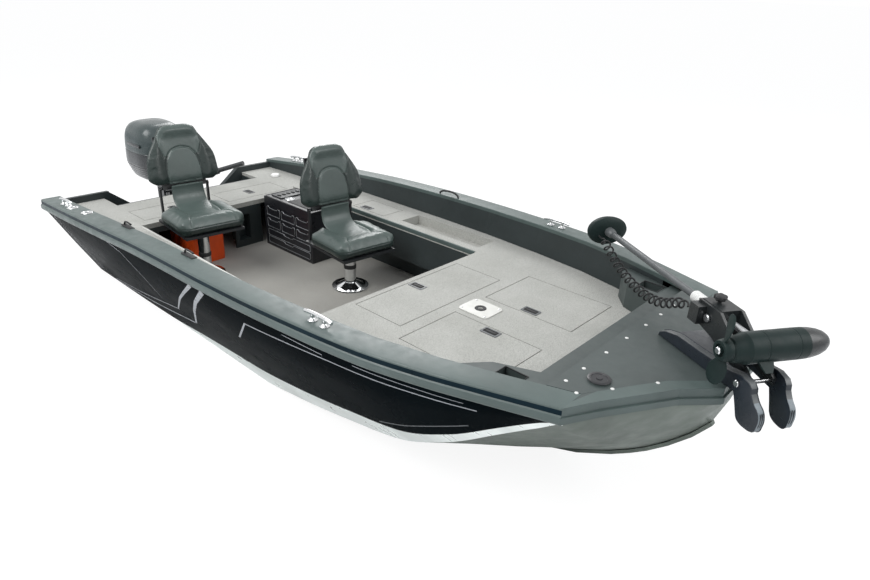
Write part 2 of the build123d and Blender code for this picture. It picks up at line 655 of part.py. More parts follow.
with BuildPart() as motor_leg:
    with Locations((STEER_X, 0, TILT_Z + 30 + FIT_GAP)):
        Cylinder(40, COWL_LOW_Z - TILT_Z - 30 - 2 * FIT_GAP, align=(Align.CENTER, Align.CENTER, Align.MIN))
    block(-330, -90, -70, 70, TILT_Z + 34, COWL_LOW_Z - FIT_GAP)
    block(-260, -160, -30, 30, PROP_AXIS_Z + 60, TILT_Z + 36)
    with Locations((STEER_X, 0, NOTCH_Z - 220 - FIT_GAP)):
        Cylinder(34, 24, align=(Align.CENTER, Align.CENTER, Align.MAX))
    block(-200, STEER_X, -28, 28, NOTCH_Z - 244, NOTCH_Z - 220.4)
    block(-370, -130, -75, 75, DECK_Z - 728, DECK_Z - 720)
    with Locations(Location((-200, 0, PROP_AXIS_Z), (0, 90, 0))):
        Cylinder(38, 260)
    with Locations(Location((-70, 0, PROP_AXIS_Z), (0, 90, 0))):
        Cone(38, 8, 70, align=(Align.CENTER, Align.CENTER, Align.MIN))
    block(-260, -170, -8, 8, PROP_AXIS_Z - 125, PROP_AXIS_Z)
    block(-240, -165, -22, 22, PROP_AXIS_Z, PROP_AXIS_Z + 70)
    with BuildPart(clevis_plane, mode=Mode.PRIVATE) as clevis:
        for side in SIDES.values():
            low, high = sorted((side * CLEVIS_Y[0], side * CLEVIS_Y[1]))
            block(-52, 14, low, high, -15, 15)
            with Locations(Location((0, (low + high) / 2, 0), (90, 0, 0))):
                Cylinder(TILLER_PIN_R + PIN_GAP, 12, mode=Mode.SUBTRACT)
        block(-52, -30, -CLEVIS_Y[1], CLEVIS_Y[1], -30, 15)
    add(clevis.part)
    block(-100, -40, 66, 110, COWL_LOW_Z - 34, COWL_LOW_Z - 20)
save(motor_leg.part, "motor_leg")
PROP_X = -335.5
with BuildPart() as motor_propeller:
    with Locations(Location((PROP_X - 40, 0, PROP_AXIS_Z), (0, 90, 0))):
        Cylinder(34, 90)
    for index in range(3):
        blade_plane = Plane(origin=(PROP_X - 40, 0, PROP_AXIS_Z), x_dir=(1, 0, 0), z_dir=(0, sin(radians(120 * index)), cos(radians(120 * index))))
        with BuildSketch(blade_plane.offset(20)):
            Rectangle(16, 50, rotation=35)
        with BuildSketch(blade_plane.offset(70)):
            Rectangle(9, 96, rotation=48)
        with BuildSketch(blade_plane.offset(122)):
            Rectangle(5, 56, rotation=60)
        loft(ruled=True)
save(motor_propeller.part, "motor_propeller")

# Tiller arm folding in a clevis at the front of the cowl
TILLER_TIP = Vector(404, 358, DECK_Z + 142)
tiller_way = TILLER_TIP - TILLER_PIVOT
tiller_length = tiller_way.length
tiller_plane = Plane(origin=TILLER_PIVOT, z_dir=tiller_way, x_dir=tiller_side)
with BuildPart(tiller_plane) as tiller:
    with Locations(Location((0, 0, 0), (0, 90, 0))):
        Cylinder(TILLER_PIN_R, 2 * CLEVIS_Y[1])
        Cylinder(17, 2 * CLEVIS_Y[0] - 2)
    Cylinder(16, tiller_length * 0.45, align=(Align.CENTER, Align.CENTER, Align.MIN))
    with Locations((0, 0, tiller_length * 0.43)):
        Cylinder(27, 62, align=(Align.CENTER, Align.CENTER, Align.MIN))
    with Locations((0, 0, tiller_length * 0.5)):
        Cylinder(18, tiller_length * 0.5, align=(Align.CENTER, Align.CENTER, Align.MIN))
save(tiller.part, "tiller")

# Bow motor, lying across the bow on its base
SHAFT_JOINT = Vector(4312, -67, DECK_Z + 350)
WAY = Vector(0.826, -0.563, 0).normalized()
ACROSS = Vector(-WAY.Y, WAY.X, 0)
LIFT_PIVOT = Vector(4335, -83, DECK_Z + 226)
base_plane = Plane(origin=Vector(LIFT_PIVOT.X, LIFT_PIVOT.Y, BOW_TOP_Z), x_dir=WAY, z_dir=(0, 0, 1))
shaft_plane = Plane(origin=SHAFT_JOINT, z_dir=-WAY, x_dir=(0, 0, 1))
pod_plane = Plane(origin=SHAFT_JOINT, z_dir=ACROSS, x_dir=(0, 0, 1))
LIFT_H = LIFT_PIVOT.Z - BOW_TOP_Z
RAIL_Y = (62.0, 88.0)
RAIL_SPLAY = 6.0
with BuildPart(base_plane) as bow_mount:
    block(-420, -150, -RAIL_Y[1], RAIL_Y[1], FIT_GAP, 12)
    for side in SIDES.values():
        splay = radians(RAIL_SPLAY) * side
        rail_way = WAY * cos(splay) - ACROSS * sin(splay)
        rail_across = ACROSS * cos(splay) + WAY * sin(splay)
        with BuildSketch(Plane(origin=base_plane.from_local_coords(Vector(0, side * RAIL_Y[0], 0)), x_dir=rail_way, z_dir=-rail_across)):
            with BuildLine():
                Polyline(
                    (-440, FIT_GAP), (-14, FIT_GAP), (2, -34), (24, -88), (46, -99),
                    (90, -99), (112, -88), (118, -40), (108, -10), (80, 10), (62, 35), (58, 54),
                    (42, LIFT_H + 30), (0, LIFT_H + 36), (-60, 64), (-200, 56), (-330, 54), (-400, 36), (-432, 18),
                    close=True,
                )
            make_face()
        extrude(amount=-side * (RAIL_Y[1] - RAIL_Y[0]))
    with Locations(Location((0, 0, LIFT_H), (90, 0, 0))):
        Cylinder(8 + PIN_GAP, 200, mode=Mode.SUBTRACT)
save(bow_mount.part, "bow_mount")
lift_plane = Plane(origin=LIFT_PIVOT, x_dir=WAY, z_dir=(0, 0, 1))
shaft_h = SHAFT_JOINT.Z - LIFT_PIVOT.Z
SHAFT_R = 13.0
LIFT_AFT = 340.0
with BuildPart(lift_plane) as bow_lift:
    with Locations(Location((0, 0, 0), (90, 0, 0))):
        Cylinder(8, 2 * RAIL_Y[1] - 10)
    for side in SIDES.values():
        low, high = sorted((side * 40, side * 52))
        with BuildSketch(Plane(origin=lift_plane.from_local_coords(Vector(0, side * 40, 0)), x_dir=WAY, z_dir=-ACROSS)):
            with BuildLine():
                Polyline((-16, -14), (14, -14), (14, 14), (-210, shaft_h + 40), (-340, shaft_h + 40), (-340, shaft_h - 50), (-230, shaft_h - 70), close=True)
            make_face()
        extrude(amount=-12 * side)
    block(-335, -215, -40, 40, shaft_h - 42, shaft_h + 42)
    block(-LIFT_AFT, -285, -88, -40, shaft_h - 42, shaft_h + 30)
    with Locations(Location((-270, 0, shaft_h), (0, 90, 0))):
        Cylinder(SHAFT_R + FIT_GAP, 200, mode=Mode.SUBTRACT)
save(bow_lift.part, "bow_lift")
SHAFT_LENGTH = 1150.0
NECK = 74.0
with BuildPart(shaft_plane) as bow_shaft:
    with Locations((0, 0, NECK + FIT_GAP)):
        Cylinder(SHAFT_R, SHAFT_LENGTH - NECK - FIT_GAP, align=(Align.CENTER, Align.CENTER, Align.MIN))
    with Locations((0, 0, 342)):
        Cylinder(21, 66, align=(Align.CENTER, Align.CENTER, Align.MIN))
save(bow_shaft.part, "bow_shaft")
HEAD_R = 88.0
with BuildPart(shaft_plane) as bow_head:
    with Locations((0, 0, SHAFT_LENGTH + FIT_GAP)):
        Cylinder(HEAD_R, 40, align=(Align.CENTER, Align.CENTER, Align.MIN))
    with Locations((0, 0, SHAFT_LENGTH + FIT_GAP + 40)):
        Cone(HEAD_R, 50, 45, align=(Align.CENTER, Align.CENTER, Align.MIN))
save(bow_head.part, "bow_head")
POD_R = 57.0
with BuildPart() as bow_pod:
    with BuildSketch(Plane(origin=SHAFT_JOINT, x_dir=ACROSS, z_dir=(0, 0, 1))):
        with BuildLine():
            Polyline((-140, 0), (-140, 42), (-60, POD_R), (150, POD_R), (205, 50), (243, 30), (261, 0), close=True)
        make_face()
    revolve(axis=Axis(SHAFT_JOINT, ACROSS))
    with Locations(shaft_plane):
        Cylinder(24, NECK, align=(Align.CENTER, Align.CENTER, Align.MIN))
save(bow_pod.part, "bow_pod")
with BuildPart(pod_plane) as bow_propeller:
    with Locations((0, 0, -140 - 0.5)):
        Cone(26, 40, 44, align=(Align.CENTER, Align.CENTER, Align.MAX))
    for index in range(2):
        way = Vector(0, 0, 1 if index == 0 else -1)
        blade_plane = Plane(origin=SHAFT_JOINT - ACROSS * 164, x_dir=WAY, z_dir=way)
        with BuildSketch(blade_plane.offset(25)):
            Rectangle(34, 10, rotation=30)
        with BuildSketch(blade_plane.offset(80)):
            Rectangle(60, 7, rotation=22)
        with BuildSketch(blade_plane.offset(141)):
            Rectangle(30, 4, rotation=14)
        loft(ruled=True)
save(bow_propeller.part, "bow_propeller")

# Curly cord from the head to the lift's socket, as a tube of its outer size
CORD_R = 24.0
LIFT_FACE = LIFT_AFT - (LIFT_PIVOT - SHAFT_JOINT).dot(WAY)
CORD_ROUTE = [
    # distance back from the pod, offset to port, height above the shaft
    (SHAFT_LENGTH + FIT_GAP, -52, -20),
    (1100, -52, -20),
    (1030, -56, -44),
    (920, -62, -78),
    (780, -66, -104),
    (640, -68, -108),
    (510, -66, -84),
    (LIFT_FACE + 70, -64, -8),
    (LIFT_FACE, -64, -8),
]


def on_shaft(back, side, rise):
    """A point given by its distance along the shaft and its offsets from it."""
    return SHAFT_JOINT - WAY * back + ACROSS * side + Vector(0, 0, rise)


route = [on_shaft(*row) for row in CORD_ROUTE]
runs = [b - a for a, b in zip(route, route[1:])]
radii = []
for before, after in zip(runs, runs[1:]):
    bend = radians(before.get_angle(after))
    radii.append(0.45 * min(before.length, after.length) / tan(bend / 2))
with BuildPart() as bow_cord:
    with BuildLine() as cord_line:
        FilletPolyline(*route, radius=radii)
    with BuildSketch(Plane(origin=route[0], z_dir=runs[0])):
        Circle(CORD_R)
    sweep(path=cord_line.wires()[0])
save(bow_cord.part, "bow_cord")
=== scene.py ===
import math

import bmesh
import bpy
import numpy as np
from mathutils import Matrix, Vector


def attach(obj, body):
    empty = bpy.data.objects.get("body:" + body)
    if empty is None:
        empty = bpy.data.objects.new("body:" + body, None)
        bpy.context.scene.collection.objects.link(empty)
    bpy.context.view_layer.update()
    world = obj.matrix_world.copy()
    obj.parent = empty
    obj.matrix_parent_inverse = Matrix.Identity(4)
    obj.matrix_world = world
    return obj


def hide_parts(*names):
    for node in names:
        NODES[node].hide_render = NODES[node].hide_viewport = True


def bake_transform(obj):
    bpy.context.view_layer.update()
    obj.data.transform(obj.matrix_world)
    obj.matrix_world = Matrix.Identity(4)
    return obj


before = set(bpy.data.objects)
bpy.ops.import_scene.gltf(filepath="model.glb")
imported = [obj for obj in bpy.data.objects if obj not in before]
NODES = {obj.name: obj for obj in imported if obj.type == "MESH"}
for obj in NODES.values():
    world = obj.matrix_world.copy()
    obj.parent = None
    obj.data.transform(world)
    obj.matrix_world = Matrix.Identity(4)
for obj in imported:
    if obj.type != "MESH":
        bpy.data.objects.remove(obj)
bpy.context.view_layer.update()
SIDES = {"starboard": -1, "port": 1}
UP = Vector((0, 0, 1))

# Levels in metres, as in the frame: X forward from the transom, Y to port, Z up from the waterline
DECK_Z = 0.57
FLOOR_Z = 0.2
AFT_DECK_Z = 0.53
BOW_TOP_Z = 0.756
MM = 0.001


# Materials
def empty_tree(holder):
    """The node tree of a material or world, emptied."""
    holder.use_nodes = True
    holder.node_tree.nodes.clear()
    return holder.node_tree


def add_node(tree, kind, values=None, links=None):
    """A shader node with some inputs set and others linked, by name or place."""
    node = tree.nodes.new("ShaderNode" + kind)
    for key, value in (values or {}).items():
        node.inputs[key].default_value = value
    for key, socket in (links or {}).items():
        tree.links.new(socket, node.inputs[key])
    return node


def new_material(name):
    """A material with only an output and a shader, its tree, shader and object coordinates."""
    mat = bpy.data.materials.new(name)
    tree = empty_tree(mat)
    shader = add_node(tree, "BsdfPrincipled")
    add_node(tree, "OutputMaterial", links={0: shader.outputs[0]})
    return mat, tree, shader, add_node(tree, "TexCoord").outputs["Object"]


def noise_node(tree, coords, scale, detail=4.0, rough=0.55):
    """Noise of a given scale on the object's coordinates."""
    values = {"Scale": scale, "Detail": detail, "Roughness": rough}
    return add_node(tree, "TexNoise", values, {"Vector": coords}).outputs["Fac"]


def ramp_node(tree, value, stops):
    """A colour ramp from pairs of position and colour."""
    node = add_node(tree, "ValToRGB", links={0: value})
    elements = node.color_ramp.elements
    while len(elements) < len(stops):
        elements.new(0.5)
    for element, (place, colour) in zip(elements, stops):
        element.position = place
        element.color = (*colour, 1)
    return node.outputs[0]


def range_node(tree, value, low, high):
    """The middle part of a noise's values spread between two limits."""
    limits = {"From Min": 0.3, "From Max": 0.7, "To Min": low, "To Max": high}
    return add_node(tree, "MapRange", limits, {"Value": value}).outputs["Result"]


def stretched(tree, coords, scale):
    """Coordinates scaled by axis, for brushed or ribbed looks."""
    return add_node(tree, "Mapping", {"Scale": scale}, {"Vector": coords}).outputs["Vector"]


def bump_node(tree, shader, height, strength, distance):
    """A bump on the shader's normal."""
    bump = add_node(tree, "Bump", {"Strength": strength, "Distance": distance}, {"Height": height})
    tree.links.new(bump.outputs["Normal"], shader.inputs["Normal"])


def set_inputs(shader, values):
    """Set a shader's own inputs."""
    for key, value in values.items():
        shader.inputs[key].default_value = value


def shade(colour, factor):
    """A colour made lighter or darker."""
    return tuple(min(1.0, c * factor) for c in colour)


def surface(name, colour, rough, metal=0.0, spread=0.12, scale=9.0, grain=0.0, grain_scale=900.0,
            coat=0.0, rough_spread=0.08, stretch=None, specular=0.5, ior=1.5):
    """A finish with a mottled colour, uneven gloss and a fine grain."""
    mat, tree, shader, coords = new_material(name)
    base = stretched(tree, coords, stretch) if stretch else coords
    mottle = noise_node(tree, base, scale, 6)
    stops = [(0.32, shade(colour, 1 - spread)), (0.68, shade(colour, 1 + spread))]
    tree.links.new(ramp_node(tree, mottle, stops), shader.inputs["Base Color"])
    gloss = noise_node(tree, base, scale * 3.7, 3)
    tree.links.new(
        range_node(tree, gloss, max(0.02, rough - rough_spread), rough + rough_spread),
        shader.inputs["Roughness"],
    )
    set_inputs(shader, {
        "Metallic": metal, "Coat Weight": coat, "Coat Roughness": 0.05, "Specular IOR Level": specular,
        "IOR": ior,
    })
    if grain:
        bump_node(tree, shader, noise_node(tree, base, grain_scale, 3), grain, 0.0006)
    return mat


def carpet_material(name, light, dark, fleck):
    """Short marine carpet: loops in two greys with darker flecks."""
    mat, tree, shader, coords = new_material(name)
    loops = noise_node(tree, coords, 260, 5, 0.75)
    wear = noise_node(tree, coords, 3.5, 4)
    stops = [(0.36, fleck), (0.44, dark), (0.56, light), (0.66, shade(light, 1.12))]
    colour = ramp_node(tree, loops, stops)
    tone = ramp_node(tree, wear, [(0.3, (0.86, 0.86, 0.85)), (0.7, (1.0, 1.0, 1.0))])
    mix = tree.nodes.new("ShaderNodeMix")
    mix.data_type = "RGBA"
    mix.blend_type = "MULTIPLY"
    mix.inputs[0].default_value = 1.0
    for socket, place in ((colour, 6), (tone, 7)):
        tree.links.new(socket, mix.inputs[place])
    tree.links.new(mix.outputs[2], shader.inputs["Base Color"])
    set_inputs(shader, {"Roughness": 0.95, "Specular IOR Level": 0.15, "Sheen Weight": 0.15})
    bump_node(tree, shader, noise_node(tree, coords, 420, 4, 0.7), 0.55, 0.0018)
    return mat


def vinyl_material(name, colour, rough=0.42, coat=0.12):
    """Marine vinyl: a mottled colour, a pebbled grain and a soft, uneven gloss."""
    mat, tree, shader, coords = new_material(name)
    mottle = noise_node(tree, coords, 7, 5)
    tree.links.new(
        ramp_node(tree, mottle, [(0.3, shade(colour, 0.86)), (0.7, shade(colour, 1.14))]),
        shader.inputs["Base Color"],
    )
    tree.links.new(
        range_node(tree, noise_node(tree, coords, 30, 3), rough - 0.06, rough + 0.08),
        shader.inputs["Roughness"],
    )
    pebble = add_node(tree, "TexVoronoi", {"Scale": 520}, {"Vector": coords})
    bump_node(tree, shader, pebble.outputs["Distance"], 0.22, 0.0006)
    set_inputs(shader, {"Coat Weight": coat, "Coat Roughness": 0.3})
    return mat


MAT = {
    "hull_black": surface(
        "hull_black", (0.0024, 0.0044, 0.0056), 0.26, spread=0.25, scale=2.0, rough_spread=0.04, specular=0.18,
        ior=1.05,
    ),
    "gunwale": surface(
        "gunwale_grey", (0.072, 0.099, 0.094), 0.4, spread=0.12, scale=5, grain=0.12, grain_scale=700,
    ),
    "band_black": surface(
        "band_black", (0.006, 0.016, 0.023), 0.34, spread=0.2, scale=6, specular=0.25, ior=1.2,
    ),
    "panel": surface(
        "panel_grey", (0.05, 0.064, 0.062), 0.46, spread=0.1, scale=6, grain=0.22, grain_scale=620,
    ),
    "aluminium": surface(
        "bare_aluminium", (0.8, 0.84, 0.82), 0.34, metal=0.7, spread=0.14, scale=3.5, rough_spread=0.1,
        stretch=(0.5, 1, 3),
    ),
    "bottom": surface(
        "bottom_metal", (0.14, 0.165, 0.145), 0.42, metal=0.5, spread=0.22, scale=3.0, rough_spread=0.12,
        grain=0.1, grain_scale=60,
    ),
    "liner": surface("liner_grey", (0.022, 0.03, 0.031), 0.5, spread=0.12, scale=5, grain=0.15),
    "carpet": carpet_material("deck_carpet", (0.5, 0.5, 0.47), (0.36, 0.36, 0.335), (0.2, 0.2, 0.19)),
    "floor_carpet": carpet_material(
        "floor_carpet", (0.42, 0.41, 0.38), (0.31, 0.3, 0.275), (0.19, 0.185, 0.17),
    ),
    "ledge": surface("ledge_pale", (0.56, 0.56, 0.53), 0.5, metal=0.2, spread=0.08, scale=8, grain=0.1),
    "console": surface("console_black", (0.014, 0.015, 0.018), 0.34, spread=0.15, scale=10, grain=0.15),
    "tray_line": surface("tray_line", (0.42, 0.44, 0.46), 0.35, metal=0.6, spread=0.08, scale=20),
    "vinyl": vinyl_material("seat_vinyl", (0.066, 0.09, 0.083), 0.36),
    "vinyl_dark": vinyl_material("seat_vinyl_dark", (0.02, 0.032, 0.029), 0.31, 0.04),
    "shell": surface("seat_shell", (0.016, 0.018, 0.02), 0.45, spread=0.12, scale=12, grain=0.2),
    "chrome": surface(
        "polished_chrome", (0.72, 0.73, 0.74), 0.1, metal=1.0, spread=0.05, scale=10, rough_spread=0.04,
    ),
    "steel": surface(
        "brushed_steel", (0.42, 0.43, 0.44), 0.3, metal=0.9, spread=0.1, scale=12, stretch=(1, 1, 12),
    ),
    "orange": surface(
        "tank_orange", (0.75, 0.085, 0.012), 0.42, spread=0.12, scale=8, grain=0.12, specular=0.4,
    ),
    "white": surface("white_plastic", (0.72, 0.72, 0.7), 0.38, spread=0.05, scale=14),
    "motor": surface("motor_black", (0.02, 0.023, 0.026), 0.24, coat=0.3, spread=0.15, scale=6),
    "cowl": surface("cowl_grey", (0.036, 0.052, 0.053), 0.28, coat=0.15, spread=0.15, scale=4),
    "rubber": surface("black_rubber", (0.012, 0.013, 0.014), 0.62, spread=0.15, scale=30, grain=0.2),
    "pod": surface(
        "pod_green_grey", (0.014, 0.024, 0.023), 0.4, spread=0.14, scale=9, grain=0.12, specular=0.3, ior=1.3,
    ),
    "pod_nose": surface("pod_nose", (0.016, 0.019, 0.02), 0.32, spread=0.15, scale=12),
    "arm_grey": surface("arm_grey", (0.085, 0.092, 0.095), 0.42, spread=0.1, scale=14, grain=0.15),
    "arm_navy": surface("arm_navy", (0.012, 0.017, 0.024), 0.34, spread=0.15, scale=14),
    "arm_tip": surface("arm_tip", (0.17, 0.2, 0.22), 0.45, spread=0.08, scale=18),
    "stripe": surface("stripe_silver", (0.34, 0.36, 0.39), 0.32, metal=0.35, spread=0.12, scale=8),
    "stripe_dim": surface("stripe_dim", (0.085, 0.095, 0.105), 0.34, metal=0.3, spread=0.15, scale=8),
    "hole": surface("dark_hole", (0.006, 0.006, 0.007), 0.8, spread=0.1, scale=20),
}


# Finishes of the CAD nodes
for key, names in {
    "bottom": ["keel_strip"],
    "gunwale": ["bow_rail"],
    "panel": ["bow_panel", "bow_bulkhead", "pocket_port", "pocket_starboard"],
    "liner": [
        "liner_port", "liner_starboard", "transom", "splash_well", "fore_bulkhead", "side_wall_port",
        "side_wall_starboard", "aft_bulkhead",
    ],
    "carpet": [
        "foredeck", "aft_deck", "side_deck_port", "side_deck_starboard", "lid_bow_aft", "lid_bow_port",
        "lid_bow_starboard", "lid_side", "lid_aft_port", "lid_aft_starboard",
    ],
    "floor_carpet": ["cockpit_floor"],
    "console": ["console", "console_trays"],
    "shell": ["seat_fore_base", "seat_aft_base", "seat_fore_frame", "seat_aft_frame"],
    "chrome": ["pedestal_fore", "pedestal_aft"],
    "ledge": ["seat_socket"],
    "steel": ["bow_shaft"],
    "orange": ["fuel_tank"],
    "motor": ["motor_clamp", "motor_swivel", "motor_leg", "motor_propeller", "tiller"],
    "pod_nose": ["bow_lift"],
}.items():
    for name in names:
        NODES[name].data.materials.clear()
        NODES[name].data.materials.append(MAT[key])


# Mesh helpers
HULL_SLOTS = dict.fromkeys(("rubber", "console", "shell", "tray_line"), "console_black") | {"chrome": "chrome"}
BODY_SLOTS = {"bow_motor": "bow_motor_dark", "bow_motor_propeller": "bow_motor_dark", "outboard": "motor_black"}


def add_piece(name, mesh, mats, body, smooth=True, slot=None):
    """An object from a mesh, with its materials, riding on a body; its slot, named or the usual one, is worked
    out but not used.
    """
    if not slot:
        slot = HULL_SLOTS.get(str(mats)) if body == "hull" else BODY_SLOTS.get(body)
    obj = bpy.data.objects.new(name, mesh)
    bpy.context.collection.objects.link(obj)
    for key in [mats] if isinstance(mats, str) else mats:
        mesh.materials.append(MAT[key])
    if smooth:
        for face in mesh.polygons:
            face.use_smooth = True
    if body:
        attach(obj, body)
    return obj


def mesh_of(bm, name):
    """A mesh from a bmesh, with its faces turned outward."""
    bmesh.ops.recalc_face_normals(bm, faces=bm.faces)
    mesh = bpy.data.meshes.new(name)
    bm.to_mesh(mesh)
    bm.free()
    return mesh


def circle(count, start=0.0):
    """Angles of a full turn in equal steps."""
    return [2 * math.pi * (i + start) / count for i in range(count)]


def swell(value, exponent):
    """A sine or cosine raised to a power with its sign kept, for rings between a circle and a box."""
    return math.copysign(abs(value) ** exponent, value)


def skin_rings(bm, rings):
    """Faces between closed rings of equal count, with the first and last ring filled."""
    for lower, upper in zip(rings, rings[1:]):
        for i, corner in enumerate(lower):
            j = (i + 1) % len(lower)
            bm.faces.new((corner, lower[j], upper[j], upper[i]))
    bm.faces.new(rings[0])
    bm.faces.new(rings[-1])


def at(x, y, z):
    """A placing matrix that only moves."""
    return Matrix.Translation((x, y, z))


def block(name, low, high, bevel, mats, body, place=None, slot=None):
    """A box with rounded edges, in an optional local frame."""
    bm = bmesh.new()
    bmesh.ops.create_cube(bm, size=1)
    low, high = Vector(low), Vector(high)
    for v in bm.verts:
        v.co = Vector(((c + 0.5) * (b - a) + a) for c, a, b in zip(v.co, low, high))
    bmesh.ops.bevel(
        bm, geom=bm.edges[:], offset=bevel, segments=3, profile=0.5, affect="EDGES", clamp_overlap=True,
    )
    if place is not None:
        bmesh.ops.transform(bm, matrix=place, verts=bm.verts)
    obj = add_piece(name, mesh_of(bm, name), mats, body, slot=slot)
    sharpen(obj)
    return obj


def sharpen(obj, angle=35):
    """Smooth shading that keeps edges over an angle."""
    mesh = obj.data
    bm = bmesh.new()
    bm.from_mesh(mesh)
    for edge in bm.edges:
        if len(edge.link_faces) == 2:
            edge.smooth = edge.calc_face_angle(0) < math.radians(angle)
    bm.to_mesh(mesh)
    bm.free()


def lathe(name, profile, mats, body, place, segments=32, slot=None, angle=35):
    """A turned piece from pairs of radius and height in millimetres, standing on a local Z."""
    bm = bmesh.new()
    rings = []
    for radius, height in ((r * MM, h * MM) for r, h in profile):
        if radius == 0:
            rings.append([bm.verts.new((0, 0, height))])
        else:
            ring = [(radius * math.cos(a), radius * math.sin(a), height) for a in circle(segments)]
            rings.append([bm.verts.new(point) for point in ring])
    for lower, upper in zip(rings, rings[1:]):
        for i in range(segments):
            j = (i + 1) % segments
            corners = [
                lower[i % len(lower)], lower[j % len(lower)], upper[j % len(upper)], upper[i % len(upper)],
            ]
            unique = list(dict.fromkeys(corners))
            if len(unique) > 2:
                bm.faces.new(unique)
    bmesh.ops.transform(bm, matrix=place, verts=bm.verts)
    obj = add_piece(name, mesh_of(bm, name), mats, body, slot=slot)
    sharpen(obj, angle)
    return obj


def loft(name, rings, mats, body, slot=None, angle=50):
    """A closed skin through rings of equal count."""
    bm = bmesh.new()
    skin_rings(bm, [[bm.verts.new(p) for p in ring] for ring in rings])
    obj = add_piece(name, mesh_of(bm, name), mats, body, slot=slot)
    sharpen(obj, angle)
    return obj


def refinish(obj, index, test):
    """Give the faces that pass a test another of the piece's materials."""
    for face in obj.data.polygons:
        if test(face):
            face.material_index = index


def frame_at(origin, z_dir, x_hint=(0, 0, 1)):
    """A placing matrix with its Z along a direction."""
    z = Vector(z_dir).normalized()
    x = Vector(x_hint)
    x = (x - z * x.dot(z)).normalized()
    y = z.cross(x)
    m = Matrix((x, y, z)).transposed().to_4x4()
    m.translation = Vector(origin)
    return m


def curve_object(name, points, radius, bevel, smooth_line=True, closed=False):
    """A curve object along points, as a smooth or a straight-sided line with a round section."""
    curve = bpy.data.curves.new(name, "CURVE")
    curve.dimensions = "3D"
    curve.bevel_depth = radius
    curve.bevel_resolution = bevel
    curve.use_fill_caps = True
    spline = curve.splines.new("NURBS" if smooth_line else "POLY")
    spline.points.add(len(points) - 1)
    for point, co in zip(spline.points, points):
        point.co = (*co, 1)
    spline.use_cyclic_u = closed
    if smooth_line:
        spline.order_u = 3
        spline.use_endpoint_u = not closed
    return bpy.data.objects.new(name, curve)


def tube(name, points, radius, mats, body, sides=10, slot=None, smooth_line=True, closed=False):
    """A round bar or wire along points, as a curve turned to mesh."""
    holder = curve_object(name + "_line", points, radius, max(1, sides // 4), smooth_line, closed)
    mesh = bpy.data.meshes.new_from_object(holder)
    bpy.data.objects.remove(holder)
    return add_piece(name, mesh, mats, body, slot=slot)


# Hull stations: x, gunwale half width, gunwale top, chine half width, chine edge, stripe height, keel
# heights are above the deck plane
STATIONS = [
    (0.0, 0.951, 0.024, 0.64, -0.627, 0.022, -0.72),
    (0.3, 0.968, 0.054, 0.644, -0.618, 0.022, -0.72),
    (0.7, 0.984, 0.091, 0.648, -0.61, 0.024, -0.72),
    (1.1, 0.989, 0.122, 0.65, -0.603, 0.034, -0.72),
    (1.5, 0.989, 0.148, 0.65, -0.59, 0.048, -0.719),
    (2.0, 0.988, 0.165, 0.65, -0.578, 0.06, -0.714),
    (2.4, 0.976, 0.172, 0.65, -0.532, 0.056, -0.708),
    (2.8, 0.947, 0.178, 0.65, -0.461, 0.052, -0.69),
    (3.135, 0.907, 0.182, 0.65, -0.385, 0.046, -0.65),
    (3.42, 0.84, 0.185, 0.65, -0.24, 0.038, -0.588),
    (3.657, 0.762, 0.186, 0.65, -0.07, 0.03, -0.505),
    (3.82, 0.704, 0.186, 0.652, 0.048, 0.022, -0.42),
    (3.908, 0.673, 0.186, 0.655, 0.106, 0.01, -0.362),
]
BOW_STATIONS = [
    (3.974, 0.532, 0.106, 0.01, -0.312),
    (4.054, 0.399, 0.106, 0.01, -0.24),
    (4.137, 0.261, 0.106, 0.01, -0.15),
    (4.2, 0.193, 0.106, 0.01, -0.06),
    (4.24, 0.138, 0.106, 0.01, 0.06),
]
GUNWALE_W = 0.122
GUNWALE_T = 0.022
LIP_T = 0.0117
LIP_DROP = 0.07
BEAD_OUT = 0.008
SKIN_T = 0.012
SKIN_BULGE = 0.004


def smooth_line(xs, ys):
    """A rising or falling curve through points, with no overshoot between them."""
    xs, ys = np.array(xs, float), np.array(ys, float)
    step = np.diff(xs)
    slope = np.diff(ys) / step
    tangent = np.zeros(len(xs))
    tangent[0], tangent[-1] = slope[0], slope[-1]
    for i in range(1, len(xs) - 1):
        if slope[i - 1] * slope[i] > 0:
            a, b = 2 * step[i] + step[i - 1], step[i] + 2 * step[i - 1]
            tangent[i] = (a + b) / (a / slope[i - 1] + b / slope[i])

    def value(x):
        i = int(min(max(np.searchsorted(xs, x) - 1, 0), len(xs) - 2))
        t, h = (x - xs[i]) / step[i], step[i]
        return float(
            ys[i] * (1 + 2 * t) * (1 - t) ** 2 + tangent[i] * h * t * (1 - t) ** 2
            + ys[i + 1] * t * t * (3 - 2 * t) + tangent[i + 1] * h * t * t * (t - 1)
        )

    return value


STATION_X = [s[0] for s in STATIONS]
HALF, TOP, CHINE, EDGE, STRIPE = (smooth_line(STATION_X, [s[i] for s in STATIONS]) for i in range(1, 6))


def straight_half(x):
    """The gunwale's half width in straight runs between stations, as its inner edge and the liners have it."""
    return float(np.interp(x, STATION_X, [s[1] for s in STATIONS]))


def skin_foot(x):
    """Half width and height of the topsides' lower edge."""
    return CHINE(x), DECK_Z + EDGE(x) + STRIPE(x)


def skin_head(x):
    """Half width and height of the topsides' upper edge."""
    return HALF(x) - LIP_T, DECK_Z + TOP(x) - LIP_DROP + 0.004


def skin_point(side, x, z, out=0.0):
    """A point on the topsides' outer face at a place along the hull and a height."""
    (y0, z0), (y1, z1) = skin_foot(x), skin_head(x)
    share = min(max((z - z0) / (z1 - z0), 0), 1)
    bulge = SKIN_BULGE * (1 - abs(2 * share - 1))
    return Vector((x, side * (y0 + (y1 - y0) * share + bulge + out), z))


